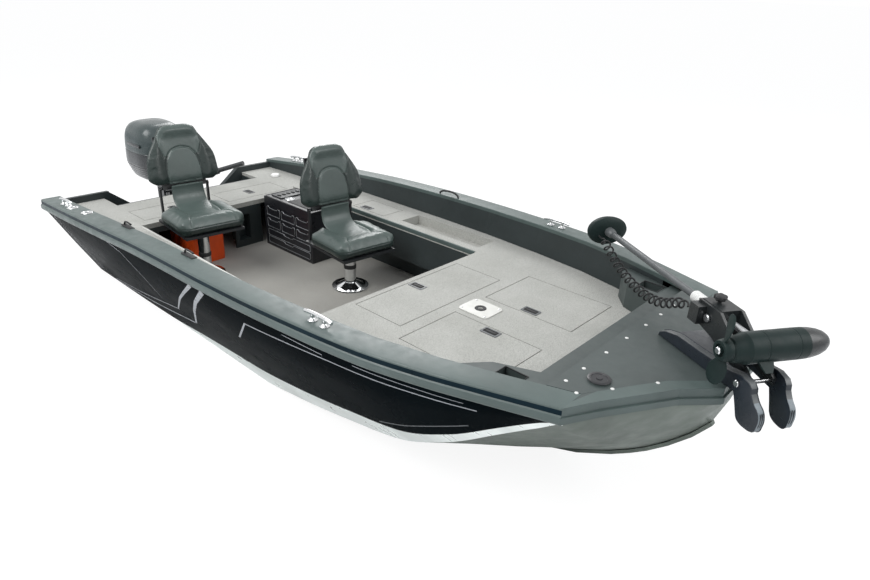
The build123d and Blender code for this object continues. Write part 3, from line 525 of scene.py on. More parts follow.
hull_x = sorted(set(list(np.linspace(0, STATION_X[-1], 79)) + STATION_X))
for side_name, side in SIDES.items():
    rings, rails = [], []
    for x in hull_x:
        (y0, z0), (y1, z1) = skin_foot(x), skin_head(x)
        top_z = DECK_Z + TOP(x) - GUNWALE_T
        outline = [
            (y0, z0), ((y0 + y1) / 2 + SKIN_BULGE, (z0 + z1) / 2), (y1, z1), (y1, top_z), (y1 - SKIN_T, top_z),
            (y1 - SKIN_T, z1), (y0 - SKIN_T, z0),
        ]
        rings.append([(x, side * y, z) for y, z in outline])
        half, top = HALF(x), DECK_Z + TOP(x)
        inner = straight_half(x) - GUNWALE_W
        section = [
            (inner, top - 0.003), (inner + 0.003, top), (half - 0.01, top), (half - 0.004, top - 0.0015),
            (half - 0.001, top - 0.005), (half, top - 0.01), (half, top - 0.03),
            (half + BEAD_OUT * 0.7, top - 0.034), (half + BEAD_OUT, top - 0.041),
            (half + BEAD_OUT, top - 0.058), (half + BEAD_OUT * 0.7, top - 0.064), (half, top - LIP_DROP),
            (half - LIP_T, top - LIP_DROP), (half - LIP_T, top - GUNWALE_T), (inner, top - GUNWALE_T),
        ]
        rails.append([(x, side * y, z) for y, z in section])
    skin = loft(f"topside_{side_name}", rings, "hull_black", "hull", slot="gloss_black_hull", angle=40)
    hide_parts(f"side_{side_name}")
    rail = loft(
        f"rail_{side_name}", rails, ["gunwale", "band_black"], "hull", slot="grey_green_gunwale", angle=26,
    )
    for face in rail.data.polygons:
        low = min(
            rail.data.vertices[i].co.z - DECK_Z - TOP(min(max(rail.data.vertices[i].co.x, 0), STATION_X[-1]))
            for i in face.vertices
        )
        if abs(face.normal.y) > 0.8 and -0.032 < low < -0.028:
            face.material_index = 1
    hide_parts(f"gunwale_{side_name}")

# Bottom pan with its bright chine strips, smooth from transom to stem
low_rows = [(s[0], s[3], s[4], s[5], s[6]) for s in STATIONS] + BOW_STATIONS
LOW_X = [row[0] for row in low_rows]
PAN_HALF, PAN_EDGE, PAN_STRIPE, PAN_KEEL = (
    smooth_line(LOW_X, [row[i] for row in low_rows])
    for i in range(1, 5)
)
rings = []
for x in sorted(set(list(np.linspace(0, LOW_X[-1], 85)) + LOW_X)):
    half, edge, stripe, keel = PAN_HALF(x), PAN_EDGE(x), PAN_STRIPE(x), PAN_KEEL(x)
    right = [
        (half * 0.5, keel + (edge - keel) * 0.44), (half * 0.85, keel + (edge - keel) * 0.82), (half, edge),
        (half, edge + stripe), (half - 0.014, edge + stripe), (half - 0.014, edge + min(stripe - 0.002, 0.02)),
    ]
    section = [(0, keel)] + right + [(0, keel + 0.02)] + [(-y, z) for y, z in reversed(right)]
    rings.append([(x, y, DECK_Z + z) for y, z in section])
pan = loft("bottom_pan", rings, ["bottom", "aluminium"], "hull", slot="bare_aluminium", angle=40)


def on_chine(face):
    """Whether a face of the pan lies in its bright chine strip."""
    x, y, z = face.center
    x = min(x, LOW_X[-1])
    return abs(face.normal.y) > 0.7 and abs(y) > PAN_HALF(x) - 0.004 and z > DECK_Z + PAN_EDGE(x)


refinish(pan, 1, on_chine)
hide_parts("hull_bottom")


STRIPE_LIFT = 0.0011
STRIPE_AFT = 0.01
STRIPE_FORE = 3.88


# Stripes on the topsides: points as place along the hull and height, with widths
def stripe(name, points, width, key, width_end):
    """A flat band along points on both topsides."""
    width_end = width if width_end is None else width_end
    for side_name, side in SIDES.items():
        bm = bmesh.new()
        path = []
        for (xa, za), (xb, zb) in zip(points, points[1:]):
            count = max(2, int(math.hypot(xb - xa, zb - za) / 0.05))
            path += [(xa + (xb - xa) * i / count, za + (zb - za) * i / count) for i in range(count)]
        path.append(points[-1])
        pairs = []
        for i, (x, z) in enumerate(path):
            before, after = path[max(0, i - 1)], path[min(len(path) - 1, i + 1)]
            dx, dz = after[0] - before[0], after[1] - before[1]
            size = math.hypot(dx, dz)
            w = (width + (width_end - width) * i / (len(path) - 1)) / 2
            ends = [(x - dz / size * w * s, z + dx / size * w * s) for s in (-1, 1)]
            ends = [skin_point(side, min(max(ex, STRIPE_AFT), STRIPE_FORE), ez, STRIPE_LIFT) for ex, ez in ends]
            pairs.append([bm.verts.new(end) for end in ends])
        for a, b in zip(pairs, pairs[1:]):
            bm.faces.new((a[0], a[1], b[1], b[0]))
        faces = bm.faces[:]
        bmesh.ops.recalc_face_normals(bm, faces=faces)
        if faces[0].normal.y * side < 0:
            bmesh.ops.reverse_faces(bm, faces=faces)
        mesh = bpy.data.meshes.new(name)
        bm.to_mesh(mesh)
        bm.free()
        add_piece(f"{name}_{side_name}", mesh, key, "hull", slot="gloss_black_hull")


for name, points, width, key, width_end in (
    ("l", [(2.145, 0.358), (2.36, 0.552), (2.941, 0.595), (3.6, 0.614)], 0.01, "stripe", 0.006),
    ("upper_a", [(2.683, 0.632), (2.918, 0.622)], 0.006, "stripe", None),
    ("upper_b", [(3.093, 0.645), (3.559, 0.642)], 0.005, "stripe", 0.003),
    ("low", [(3.018, 0.227), (3.187, 0.302), (3.529, 0.486)], 0.006, "stripe_dim", None),
    ("jag_a", [(1.994, 0.64), (1.764, 0.495), (1.62, 0.4), (1.399, 0.227)], 0.02, "stripe", 0.008),
    ("jag_b", [(2.101, 0.64), (1.859, 0.473), (1.7, 0.34), (1.519, 0.161)], 0.026, "stripe", 0.012),
    ("base_a", [(0.33, 0.04), (0.8, 0.11), (1.409, 0.225)], 0.007, "stripe", None),
    ("base_b", [(0.26, 0.01), (0.9, 0.07), (1.507, 0.158)], 0.012, "stripe", None),
    ("diagonal", [(1.056, 0.6), (1.16, 0.56), (1.215, 0.38), (1.233, 0.239)], 0.008, "stripe", 0.004),
    ("stern_a", [(0.11, 0.5), (0.15, 0.25), (0.171, 0.053)], 0.007, "stripe", None),
    ("stern_b", [(0.18, 0.5), (0.225, 0.25), (0.25, 0.07)], 0.004, "stripe_dim", None),
):
    stripe(f"stripe_{name}", points, width, key, width_end)


# Padded seats: a shrunken form blown up as cloth, then sewn
VOXEL = 0.008
AIR_PRESSURE = 4
AIR_FRAMES = 20


def with_modifiers(obj):
    """The object's mesh with its modifiers worked in."""
    return bpy.data.meshes.new_from_object(obj.evaluated_get(bpy.context.evaluated_depsgraph_get()))


def blow_up(obj, cap):
    """Remesh a closed form, fill it with air as cloth, and smooth it once."""
    bpy.context.view_layer.objects.active = obj
    remesh = obj.modifiers.new("remesh", "REMESH")
    remesh.mode = "VOXEL"
    remesh.voxel_size = VOXEL
    base = with_modifiers(obj)
    obj.modifiers.clear()
    obj.data = base
    rest = np.array([v.co[:] for v in base.vertices])
    cloth = obj.modifiers.new("air", "CLOTH")
    cloth.settings.quality = 4
    cloth.settings.use_pressure = True
    cloth.settings.uniform_pressure_force = AIR_PRESSURE
    cloth.settings.effector_weights.gravity = 0
    cloth.point_cache.frame_start = 1
    cloth.point_cache.frame_end = AIR_FRAMES
    for number in range(1, AIR_FRAMES + 1):
        bpy.context.scene.frame_set(number)
    filled = with_modifiers(obj)
    moved = np.array([v.co[:] for v in filled.vertices]) - rest
    size = np.linalg.norm(moved, axis=1, keepdims=True)
    moved *= np.minimum(1, cap / np.maximum(size, 1e-9))
    obj.modifiers.clear()
    obj.data = base
    for vert, co in zip(base.vertices, rest + moved):
        vert.co = co
    bpy.context.scene.frame_set(1)
    sub = obj.modifiers.new("smooth", "SUBSURF")
    sub.levels = 1
    final = with_modifiers(obj)
    obj.modifiers.clear()
    obj.data = final
    for face in final.polygons:
        face.use_smooth = True


def soft_step(value, low, high):
    """Zero below low, one above high, smooth between."""
    t = np.clip((value - low) / (high - low), 0, 1)
    return t * t * (3 - 2 * t)


def rounded_block(cells, low, high, radius_plan, radius_edge):
    """A closed grid over a box whose corners and edges are round, in local metres."""
    bm = bmesh.new()
    bmesh.ops.create_cube(bm, size=2)
    bmesh.ops.subdivide_edges(bm, edges=bm.edges[:], cuts=cells, use_grid_fill=True)
    low, high = np.array(low), np.array(high)
    centre, half = (low + high) / 2, (high - low) / 2
    for v in bm.verts:
        p = np.array(v.co[:]) * half
        core = half - np.array([radius_plan, radius_plan, 0])
        near = np.clip(p, -core, core)
        off = p - near
        off[2] = 0
        size = np.linalg.norm(off)
        if size > 1e-9:
            reach = max(abs(off[0]), abs(off[1]))
            off *= reach / size
        p[:2] = near[:2] + off[:2]
        inner = half - radius_edge
        near = np.clip(p, -inner, inner)
        off = p - near
        size = np.linalg.norm(off)
        if size > 1e-9:
            off *= max(abs(off)) / size
        v.co = Vector(near + off + centre)
    return bm


def sew(obj, place, seams, depth, width, part):
    """A groove's depth along seam lines given in a soft piece's local frame, with the piece's local points and
    normals, for pressing it in.
    """
    inverse = place.inverted()
    local = np.array([(inverse @ v.co)[:] for v in obj.data.vertices])
    normals = np.array([v.normal[:] for v in obj.data.vertices])
    dent = np.zeros(len(local))
    for seam in seams:
        seam = np.array(seam)
        best = np.full(len(local), 1.0)
        for a, b in zip(seam, seam[1:]):
            ab = b - a
            t = np.clip(((local[:, part] - a) @ ab) / (ab @ ab), 0, 1)
            best = np.minimum(best, np.linalg.norm(local[:, part] - a - t[:, None] * ab, axis=1))
        dent = np.maximum(dent, depth * np.exp(-((best / width) ** 2)))
    return local, normals, dent


def curve_through(points, steps=10):
    """A smooth line through plan points."""
    pts = [np.array(p, float) for p in points]
    pts = [2 * pts[0] - pts[1]] + pts + [2 * pts[-1] - pts[-2]]
    out = []
    for a, b, c, d in zip(pts, pts[1:], pts[2:], pts[3:]):
        for i in range(steps):
            t = i / steps
            square, cube = 2 * a - 5 * b + 4 * c - d, 3 * b - a - 3 * c + d
            out.append(0.5 * (2 * b + (c - a) * t + square * t * t + cube * t ** 3))
    out.append(pts[-2])
    return np.array(out)


SEATS = {"fore": (1.798, 0.217, 0.45), "aft": (1.004, -0.35, 0.514)}
SEAT_TURN = math.radians(-6)
CUSHION_LOW = 0.0405
CUSHION_TOP = 0.1463
CUSHION_SEAM = 0.092
BACK_PIVOT = Vector((-0.216, 0, 0.236))
BACK_LEAN = math.radians(12)
BACK_HEIGHT = 0.404
BACK_FRONT = 0.083
BACK_REAR = 0.021
TONGUE_HALF = 0.108
FRONT_SEAM = [
    (-0.165, -TONGUE_HALF), (0.05, -TONGUE_HALF), (0.104, -0.08), (0.122, 0.0),
    (0.104, 0.08), (0.05, TONGUE_HALF), (-0.165, TONGUE_HALF),
]


def cushion_shape(x, y):
    """Rise or drop of the cushion's top over its plan, in metres."""
    tongue = 1 - soft_step(np.abs(y), TONGUE_HALF - 0.02, TONGUE_HALF + 0.024)
    tongue *= 1 - soft_step(x, 0.085, 0.135)
    front = -0.03 * soft_step(x, 0.19, 0.245)
    crown = -0.01 * soft_step(np.abs(y), 0.15, 0.225)
    rear = -0.022 * soft_step(-x, 0.06, 0.17) * soft_step(np.abs(y), 0.12, 0.16)
    return -0.02 * tongue + front + crown + rear


BACK_WIDTHS = smooth_line(
    [0.0, 0.016, 0.065, 0.165, 0.329, 0.376, 0.404], [0.165, 0.191, 0.243, 0.236, 0.152, 0.125, 0.07],
)
ARCH = [
    (-0.112, 0.04), (-0.11, 0.11), (-0.098, 0.18), (-0.062, 0.232), (0.0, 0.25), (0.062, 0.232), (0.098, 0.18),
    (0.11, 0.11), (0.112, 0.04),
]
HEAD_LEFT = [(-0.112, 0.2), (-0.134, 0.27), (-0.13, 0.33), (-0.098, 0.378), (-0.04, 0.398)]
HEAD_RIGHT = [(-s, h) for s, h in HEAD_LEFT]


def inside_arch(s, h):
    """Share of a point on the back that lies in the arched panel."""
    width = np.interp(h, [0.03, 0.11, 0.18, 0.232, 0.25], [0.112, 0.11, 0.098, 0.062, 0.0])
    return (1 - soft_step(np.abs(s), width - 0.012, width + 0.006)) * (1 - soft_step(h, 0.236, 0.256))


for seat_name, seat_place in SEATS.items():
    seat_body = f"{seat_name}_seat"
    back_body = f"{seat_name}_seat_back"
    seat = Matrix.Translation(Vector(seat_place)) @ Matrix.Rotation(SEAT_TURN, 4, "Z")
    lean_up = Vector((-math.sin(BACK_LEAN), 0, math.cos(BACK_LEAN)))
    lean_front = Vector((math.cos(BACK_LEAN), 0, math.sin(BACK_LEAN)))
    across = Vector((0, 1, 0))
    back_frame = Matrix((across, lean_up, lean_front)).transposed().to_4x4()
    back_frame.translation = BACK_PIVOT
    back = seat @ back_frame

    bm = rounded_block(
        22, (-0.163, -0.221, CUSHION_LOW + 0.004), (0.233, 0.221, CUSHION_TOP - 0.007), 0.072, 0.034,
    )
    for v in bm.verts:
        share = soft_step(v.co.z, CUSHION_LOW + 0.03, CUSHION_TOP - 0.01)
        v.co.z += float(cushion_shape(v.co.x, v.co.y)) * float(share)
    bmesh.ops.transform(bm, matrix=seat, verts=bm.verts)
    cushion = add_piece(
        f"cushion_{seat_name}", mesh_of(bm, "cushion"), ["vinyl", "vinyl_dark"], seat_body,
        slot="charcoal_vinyl",
    )
    blow_up(cushion, 0.009)
    front_seam = curve_through(FRONT_SEAM)
    corner_seams = [
        curve_through([(0.1, side * 0.086), (0.16, side * 0.128), (0.238, side * 0.15)])
        for side in (-1, 1)
    ]
    local, normals, dent = sew(cushion, seat, [front_seam] + corner_seams, 0.0045, 0.0045, slice(0, 2))
    upward = soft_step(normals[:, 2], 0.2, 0.6)
    side_seam = np.exp(-(((local[:, 2] - CUSHION_SEAM) / 0.004) ** 2)) * 0.003 * (1 - upward)
    for v, n, d in zip(cushion.data.vertices, normals, dent * upward + side_seam):
        v.co -= Vector(n) * d
    refinish(cushion, 1, lambda face: (seat.inverted() @ face.center).z < CUSHION_SEAM)
    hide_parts(f"seat_{seat_name}_cushion")

    bm = bmesh.new()
    rings = []
    middle, thick = (BACK_FRONT + BACK_REAR) / 2, (BACK_FRONT - BACK_REAR) / 2 - 0.006
    for h in np.linspace(0.02, BACK_HEIGHT - 0.006, 40):
        half = BACK_WIDTHS(h) - 0.007
        end = min(1.0, (BACK_HEIGHT - 0.006 - h) / 0.03 + 0.45, (h - 0.02) / 0.025 + 0.5)
        ring = []
        for a in circle(64):
            t = middle + thick * end * swell(math.sin(a), 0.62)
            ring.append(bm.verts.new((half * swell(math.cos(a), 0.55), h, t)))
        rings.append(ring)
    skin_rings(bm, rings)
    for v in bm.verts:
        s, h, t = v.co
        if t > middle:
            hollow = 0.016 * (1 - float(soft_step(abs(s), 0.1, 0.165))) * float(1 - soft_step(h, 0.3, 0.38))
            v.co.z -= hollow * (t - middle) / thick
            v.co.z -= 0.004 * float(soft_step(h, 0.33, 0.4))
    bmesh.ops.transform(bm, matrix=back, verts=bm.verts)
    backrest = add_piece(
        f"backrest_{seat_name}", mesh_of(bm, "backrest"), ["vinyl_dark", "vinyl"], back_body,
        slot="charcoal_vinyl",
    )
    blow_up(backrest, 0.008)
    seams = [
        curve_through(ARCH), curve_through(HEAD_LEFT), curve_through(HEAD_RIGHT),
        np.array([(-0.112, 0.04), (0.112, 0.04)]),
    ]
    local, normals, dent = sew(backrest, back, seams, 0.005, 0.005, slice(0, 2))
    forward = np.array(normals) @ np.array((back.to_3x3() @ Vector((0, 0, 1)))[:])
    bulge = 0.007 * inside_arch(local[:, 0], local[:, 1])
    rim = 0.004 * np.exp(-(((local[:, 2] - 0.05) / 0.004) ** 2)) * (1 - soft_step(np.abs(forward), 0.2, 0.5))
    for v, n, d in zip(backrest.data.vertices, normals, (dent - bulge) * soft_step(forward, 0.1, 0.5) + rim):
        v.co -= Vector(n) * float(d)
    inverse = back.inverted()
    for face in backrest.data.polygons:
        s, h, t = inverse @ face.center
        head_half = np.interp(h, [0.2, 0.27, 0.33, 0.378, 0.398], [0.112, 0.134, 0.13, 0.098, 0.04])
        if t > middle and (inside_arch(s, h) > 0.5 or (h > 0.2 and abs(s) < head_half)):
            face.material_index = 1
    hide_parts(f"seat_{seat_name}_back")

    bm = bmesh.new()
    strip = curve_through(
        [
            (0.07, 0.108), (0.01, 0.117), (-0.06, 0.129), (-0.118, 0.15), (-0.146, 0.186), (-0.156, 0.232),
            (-0.154, 0.266),
        ],
        6,
    )
    rings = []
    for i, (x, z) in enumerate(strip):
        before, after = strip[max(0, i - 1)], strip[min(len(strip) - 1, i + 1)]
        way = np.array(after) - np.array(before)
        way /= np.linalg.norm(way)
        out = np.array([way[1], -way[0]]) * -1
        half = TONGUE_HALF - 0.006 + 0.004 * math.sin(math.pi * i / len(strip))
        ring = []
        for a in circle(24):
            s, t = half * swell(math.cos(a), 0.35), 0.01 * swell(math.sin(a), 0.7)
            ring.append(bm.verts.new(seat @ Vector((x + out[0] * t, s, z + out[1] * t))))
        rings.append(ring)
    skin_rings(bm, rings)
    tongue = add_piece(f"tongue_{seat_name}", mesh_of(bm, "tongue"), "vinyl", None, slot="charcoal_vinyl")
    sub = tongue.modifiers.new("smooth", "SUBSURF")
    sub.levels = 1
    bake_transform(tongue)


# Bow motor: head, collar, pod, blades, ramp arms and curly cord
SHAFT_JOINT = Vector((4.312, -0.067, 0.92))
LIFT_PIVOT = Vector((4.335, -0.083, 0.796))
WAY = Vector((0.826, -0.563, 0)).normalized()
ACROSS = Vector((-WAY.y, WAY.x, 0))
SHAFT_LENGTH = 1.15
POD_R = 57
POD_NOSE = 0.152
BLADE_PLACE = 0.158


def on_shaft(back, side=0.0, rise=0.0):
    """A point given by its distance back along the shaft and its offsets from it."""
    return SHAFT_JOINT - WAY * back + ACROSS * side + UP * rise


head = lathe(
    "bow_head_cap",
    [
        (0, 0.3), (50, 0.3), (74, 4), (85, 11), (88, 20), (87, 27), (84.5, 28), (84.5, 31), (86, 32), (80, 48),
        (62, 66), (34, 80), (0, 85),
    ],
    "pod", "bow_motor", frame_at(on_shaft(SHAFT_LENGTH), -WAY, ACROSS) @ Matrix.Diagonal((1.2, 0.82, 1, 1)),
    segments=64, angle=28,
)
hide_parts("bow_head")
collar = [(21.5, 342)]
for index in range(6):
    start = 345 + index * 10.2
    collar += [(23.5, start), (24.3, start + 2), (24.3, start + 6.5), (23.5, start + 8.5), (22.2, start + 9)]
collar += [(21.5, 408), (13.5, 409)]
lathe("bow_collar", collar, "white", "bow_motor", frame_at(SHAFT_JOINT, -WAY, ACROSS), segments=40)
lathe(
    "bow_shaft_sleeve",
    [(15, 409), (15.2, 440), (15, 1100), (15, 1105), (21, 1112), (24, 1130), (24, SHAFT_LENGTH / MM)],
    "arm_grey", "bow_motor", frame_at(SHAFT_JOINT, -WAY, ACROSS), segments=32,
)
pod_profile = [
    (0, -140), (36, -140), (44, -134), (48.5, -118), (49.5, -100), (53, -88), (POD_R, -80), (POD_R, -20),
    (55.5, -18), (55.5, -14), (POD_R, -12), (POD_R, 105), (56, 107), (56, 110), (POD_R, 112), (56.5, 150),
    (54, 180), (48.5, 208), (40, 231), (28.5, 248), (15, 258), (0, 261),
]
pod = lathe(
    "bow_pod_body", pod_profile, ["pod", "pod_nose"], "bow_motor", frame_at(SHAFT_JOINT, ACROSS, UP),
    segments=64, angle=24,
)
refinish(pod, 1, lambda face: (face.center - SHAFT_JOINT).dot(ACROSS) > POD_NOSE)
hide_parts("bow_pod")
lathe(
    "bow_pod_neck", [(44, 20), (38, 46), (29, 58), (25, 66), (24, 73), (20, 73.8)], "pod", "bow_motor",
    frame_at(SHAFT_JOINT, -WAY, UP), segments=40,
)

# Blades with a hub and nut
hub = lathe(
    "bow_hub",
    [
        (0, 140.5), (40, 140.5), (41.5, 146), (40, 160), (36, 172), (34, 173.5), (24, 173.5), (23, 165),
        (13, 165), (13, 180), (10, 183.5), (0, 183.5),
    ],
    ["pod", "chrome"], "bow_motor_propeller", frame_at(SHAFT_JOINT, -ACROSS, UP), segments=48,
)


def on_nut(face):
    """Whether a face of the hub lies on its nut."""
    offset = face.center - SHAFT_JOINT
    return (offset + ACROSS * offset.dot(-ACROSS)).length < 0.0125 and -offset.dot(ACROSS) > 0.166


refinish(hub, 1, on_nut)
BLADE = (
    # reach from the axis, chord, twist in degrees, thickness
    (0.034, 0.034, 34, 0.01), (0.05, 0.052, 30, 0.008), (0.07, 0.068, 26, 0.006), (0.095, 0.072, 22, 0.005),
    (0.118, 0.062, 18, 0.004), (0.133, 0.044, 16, 0.003), (0.1405, 0.02, 14, 0.002),
)
for index, way in enumerate((UP, -UP)):
    rings = []
    side_dir = WAY * (1 if index == 0 else -1)
    for radius, chord, twist, thick in BLADE:
        t = math.radians(twist)
        chord_dir = side_dir * math.cos(t) - ACROSS * math.sin(t)
        thick_dir = chord_dir.cross(way)
        centre = SHAFT_JOINT - ACROSS * BLADE_PLACE + way * radius + chord_dir * (radius - 0.034) * 0.12
        rings.append([
            centre + chord_dir * (chord / 2 * math.cos(a)) + thick_dir * (thick / 2 * math.sin(a))
            for a in circle(20)
        ])
    blade = loft(f"bow_blade_{index}", rings, "pod", "bow_motor_propeller", angle=70)
    if index == 0:
        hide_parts("bow_propeller")

# Small fin under the pod, leaning forward
fin_out = (WAY * 0.8 - UP * 0.6)
rings = []
for reach, low, high, thick in (
    (0.05, -0.046, 0.016, 0.01), (0.078, -0.04, 0.006, 0.007), (0.098, -0.034, -0.006, 0.004),
):
    thick_dir = fin_out.cross(ACROSS).normalized()
    centre = SHAFT_JOINT + fin_out * reach
    half = thick_dir * thick / 2
    rings.append([centre + ACROSS * edge + half * s for edge, s in ((low, -1), (high, -1), (high, 1), (low, 1))])
loft("bow_fin", rings, "pod", "bow_motor", angle=60)

# Ramp arms with rounded edges
RAIL_IN = 0.062
RAIL_OUT = 0.088
RAIL_SPLAY = math.radians(6)
lift_h = LIFT_PIVOT.z - BOW_TOP_Z
GROOVE = ((0.1125, -0.012), (0.118, -0.04), (0.1135, -0.075), (0.098, -0.0965))
ARM_OUTLINE = [
    (-0.44, 0.0003), (-0.014, 0.0003), (0.002, -0.034), (0.024, -0.088), (0.046, -0.099), (0.09, -0.099),
    (0.112, -0.088), (0.118, -0.04), (0.108, -0.01), (0.08, 0.01), (0.062, 0.035), (0.058, 0.054),
    (0.042, lift_h + 0.03), (0.0, lift_h + 0.036), (-0.06, 0.064), (-0.2, 0.056), (-0.33, 0.054), (-0.4, 0.036),
    (-0.432, 0.018),
]
base = Vector((LIFT_PIVOT.x, LIFT_PIVOT.y, BOW_TOP_Z))
for side_name, side in SIDES.items():
    splay = RAIL_SPLAY * side
    rail_way = WAY * math.cos(splay) - ACROSS * math.sin(splay)
    rail_across = ACROSS * math.cos(splay) + WAY * math.sin(splay)
    origin = base + ACROSS * side * RAIL_IN
    bm = bmesh.new()
    inner = [bm.verts.new(origin + rail_way * x + UP * z) for x, z in ARM_OUTLINE]
    rail_thick = rail_across * side * (RAIL_OUT - RAIL_IN)
    outer = [bm.verts.new(origin + rail_way * x + UP * z + rail_thick) for x, z in ARM_OUTLINE]
    bm.faces.new(inner)
    bm.faces.new(outer)
    for i in range(len(inner)):
        j = (i + 1) % len(inner)
        bm.faces.new((inner[i], inner[j], outer[j], outer[i]))
    bm.edges.ensure_lookup_table()
    tip_edges = []
    for edge in bm.edges:
        a, b = (v.co for v in edge.verts)
        low, forward = min(a.z, b.z) < BOW_TOP_Z + 0.03, max((a - base).dot(WAY), (b - base).dot(WAY)) > 0
        if low and forward and abs((a - b).normalized().dot(rail_across)) > 0.95:
            tip_edges.append(edge)
    bmesh.ops.bevel(
        bm, geom=tip_edges, offset=0.012, segments=4, profile=0.5, affect="EDGES", clamp_overlap=True,
    )
    rim = [e for e in bm.edges if len(e.link_faces) == 2 and e.calc_face_angle(0) > math.radians(60)]
    bmesh.ops.bevel(bm, geom=rim, offset=0.0035, segments=3, profile=0.5, affect="EDGES", clamp_overlap=True)
    arm = add_piece(
        f"ramp_arm_{side_name}", mesh_of(bm, "ramp_arm"), ["arm_navy", "arm_grey", "arm_tip"], "hull",
        slot="bow_motor_dark",
    )
    sharpen(arm, 40)
    for face in arm.data.polygons:
        offset = face.center - base
        flat = abs(face.normal.dot(rail_across)) < 0.5
        if flat and face.normal.dot(rail_way) > 0.2 and offset.dot(rail_way) > 0.03 and offset.z < 0.012:
            face.material_index = 2
        elif flat and face.normal.z > 0.25:
            face.material_index = 1
    if side < 0:
        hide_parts("bow_mount")
    for lane in (0.3, 0.62):
        groove = [origin + rail_way * x + UP * z + rail_thick * lane for x, z in GROOVE]
        tube(
            f"ramp_rib_{side_name}_{int(lane * 100)}", groove, 0.0016, "rubber", "hull", sides=8,
            slot="bow_motor_dark",
        )
block(
    "ramp_base", (-0.42, -RAIL_OUT, 0.0003), (-0.15, RAIL_OUT, 0.012), 0.003, "arm_navy", "hull",
    place=frame_at(base, UP, WAY), slot="bow_motor_dark",
)
lathe(
    "ramp_cross_pin",
    [
        (0, -98), (11, -98), (12.5, -96), (12.5, -92), (8, -90.5), (8, 90.5), (12.5, 92), (12.5, 96), (11, 98),
        (0, 98),
    ],
    "chrome", "hull", frame_at(LIFT_PIVOT, ACROSS, UP), slot="bow_motor_dark",
)

# Star knob and latch on the lift
knob_place = frame_at(on_shaft(0.262, 0, 0.042), UP, WAY)
bm = bmesh.new()
rings = []
for height, radius in (
    (0.0, 0.008), (0.01, 0.008), (0.011, 0.02), (0.014, 0.023), (0.026, 0.023), (0.03, 0.019), (0.031, 0.006),
):
    wave = 0.12 if radius > 0.015 else 0
    ring = []
    for a in circle(60):
        reach = radius * (1 + wave * math.cos(5 * a))
        ring.append(bm.verts.new((reach * math.cos(a), reach * math.sin(a), height)))
    rings.append(ring)
skin_rings(bm, rings)
bmesh.ops.transform(bm, matrix=knob_place, verts=bm.verts)
sharpen(add_piece("bow_knob", mesh_of(bm, "bow_knob"), "rubber", "bow_motor"), 40)
lathe(
    "bow_lock_disc", [(0, 52.5), (14, 52.5), (16, 55), (16, 60), (13, 63), (0, 63)], "steel", "bow_motor",
    frame_at(on_shaft(0.24, 0, -0.01), -ACROSS, UP),
)

# Curly cord: turns wound round the smooth line through the route's points
CORD_ROUTE = [
    (1.1503, -0.052, -0.02), (1.1, -0.052, -0.02), (1.03, -0.056, -0.044), (0.92, -0.062, -0.078),
    (0.78, -0.066, -0.104), (0.64, -0.068, -0.108), (0.51, -0.066, -0.084), (0.382, -0.064, -0.008),
    (0.3125, -0.064, -0.008),
]
CORD_D = 0.0085
COIL_R = 0.019
COIL_TURNS = 19
TURN_POINTS = 12

route = [on_shaft(*row) for row in CORD_ROUTE]
guide = curve_object("cord_guide", route, 0.0, 3)
guide.data.resolution_u = 24
line = [v.co.copy() for v in bpy.data.meshes.new_from_object(guide).vertices]
bpy.data.objects.remove(guide)
lengths = np.concatenate([[0], np.cumsum([(b - a).length for a, b in zip(line, line[1:])])])
total = lengths[-1]
STRAIGHT = 0.03
turns = []
count = COIL_TURNS * TURN_POINTS
for i in range(count + 1):
    share = i / count
    place = STRAIGHT + (total - 2 * STRAIGHT) * share
    k = int(min(np.searchsorted(lengths, place), len(line) - 1))
    a, b = line[max(0, k - 1)], line[k]
    t = (place - lengths[max(0, k - 1)]) / max(1e-9, lengths[k] - lengths[max(0, k - 1)])
    centre = a.lerp(b, float(t))
    way = (b - a).normalized()
    side_dir = way.cross(UP).normalized()
    up_dir = side_dir.cross(way)
    grow = min(1.0, min(share, 1 - share) * COIL_TURNS)
    angle = 2 * math.pi * i / TURN_POINTS
    turns.append(centre + (side_dir * math.cos(angle) + up_dir * math.sin(angle)) * COIL_R * grow)
cord = curve_object("curly_cord", [line[0]] + turns + [line[-1]], CORD_D / 2, 3)
cord.data.splines[0].resolution_u = 6
bpy.context.collection.objects.link(cord)
cord.data.materials.append(MAT["rubber"])
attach(cord, "bow_motor")
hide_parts("bow_cord")

# Outboard cowl with ribs at its foot and a grey top
COWL_RINGS = [
    # height, x aft, x fore, half width
    (0.5455, -0.428, -0.082, 0.143), (0.552, -0.436, -0.074, 0.15), (0.6, -0.466, -0.054, 0.173),
    (0.665, -0.488, -0.041, 0.189), (0.75, -0.486, -0.043, 0.186), (0.756, -0.482, -0.046, 0.183),
    (0.762, -0.485, -0.044, 0.185), (0.84, -0.479, -0.046, 0.181), (0.895, -0.462, -0.058, 0.17),
    (0.935, -0.432, -0.082, 0.15), (0.96, -0.388, -0.122, 0.118), (0.972, -0.33, -0.175, 0.076),
    (0.9748, -0.27, -0.235, 0.03),
]
COWL_PARTING = 0.752
COWL_SQUARENESS = 0.62
RIBS_LOW = 0.56
RIBS_HIGH = 0.65
RIB_PITCH = 0.018
RIB_DEPTH = 0.004
rings = []
cowl_z = [row[0] for row in COWL_RINGS]
cowl_lines = [smooth_line(cowl_z, [row[i] for row in COWL_RINGS]) for i in range(1, 4)]
cowl_levels = [
    np.linspace(cowl_z[0], 0.745, 34), np.linspace(0.745, 0.768, 10), np.linspace(0.768, cowl_z[-1], 34),
]
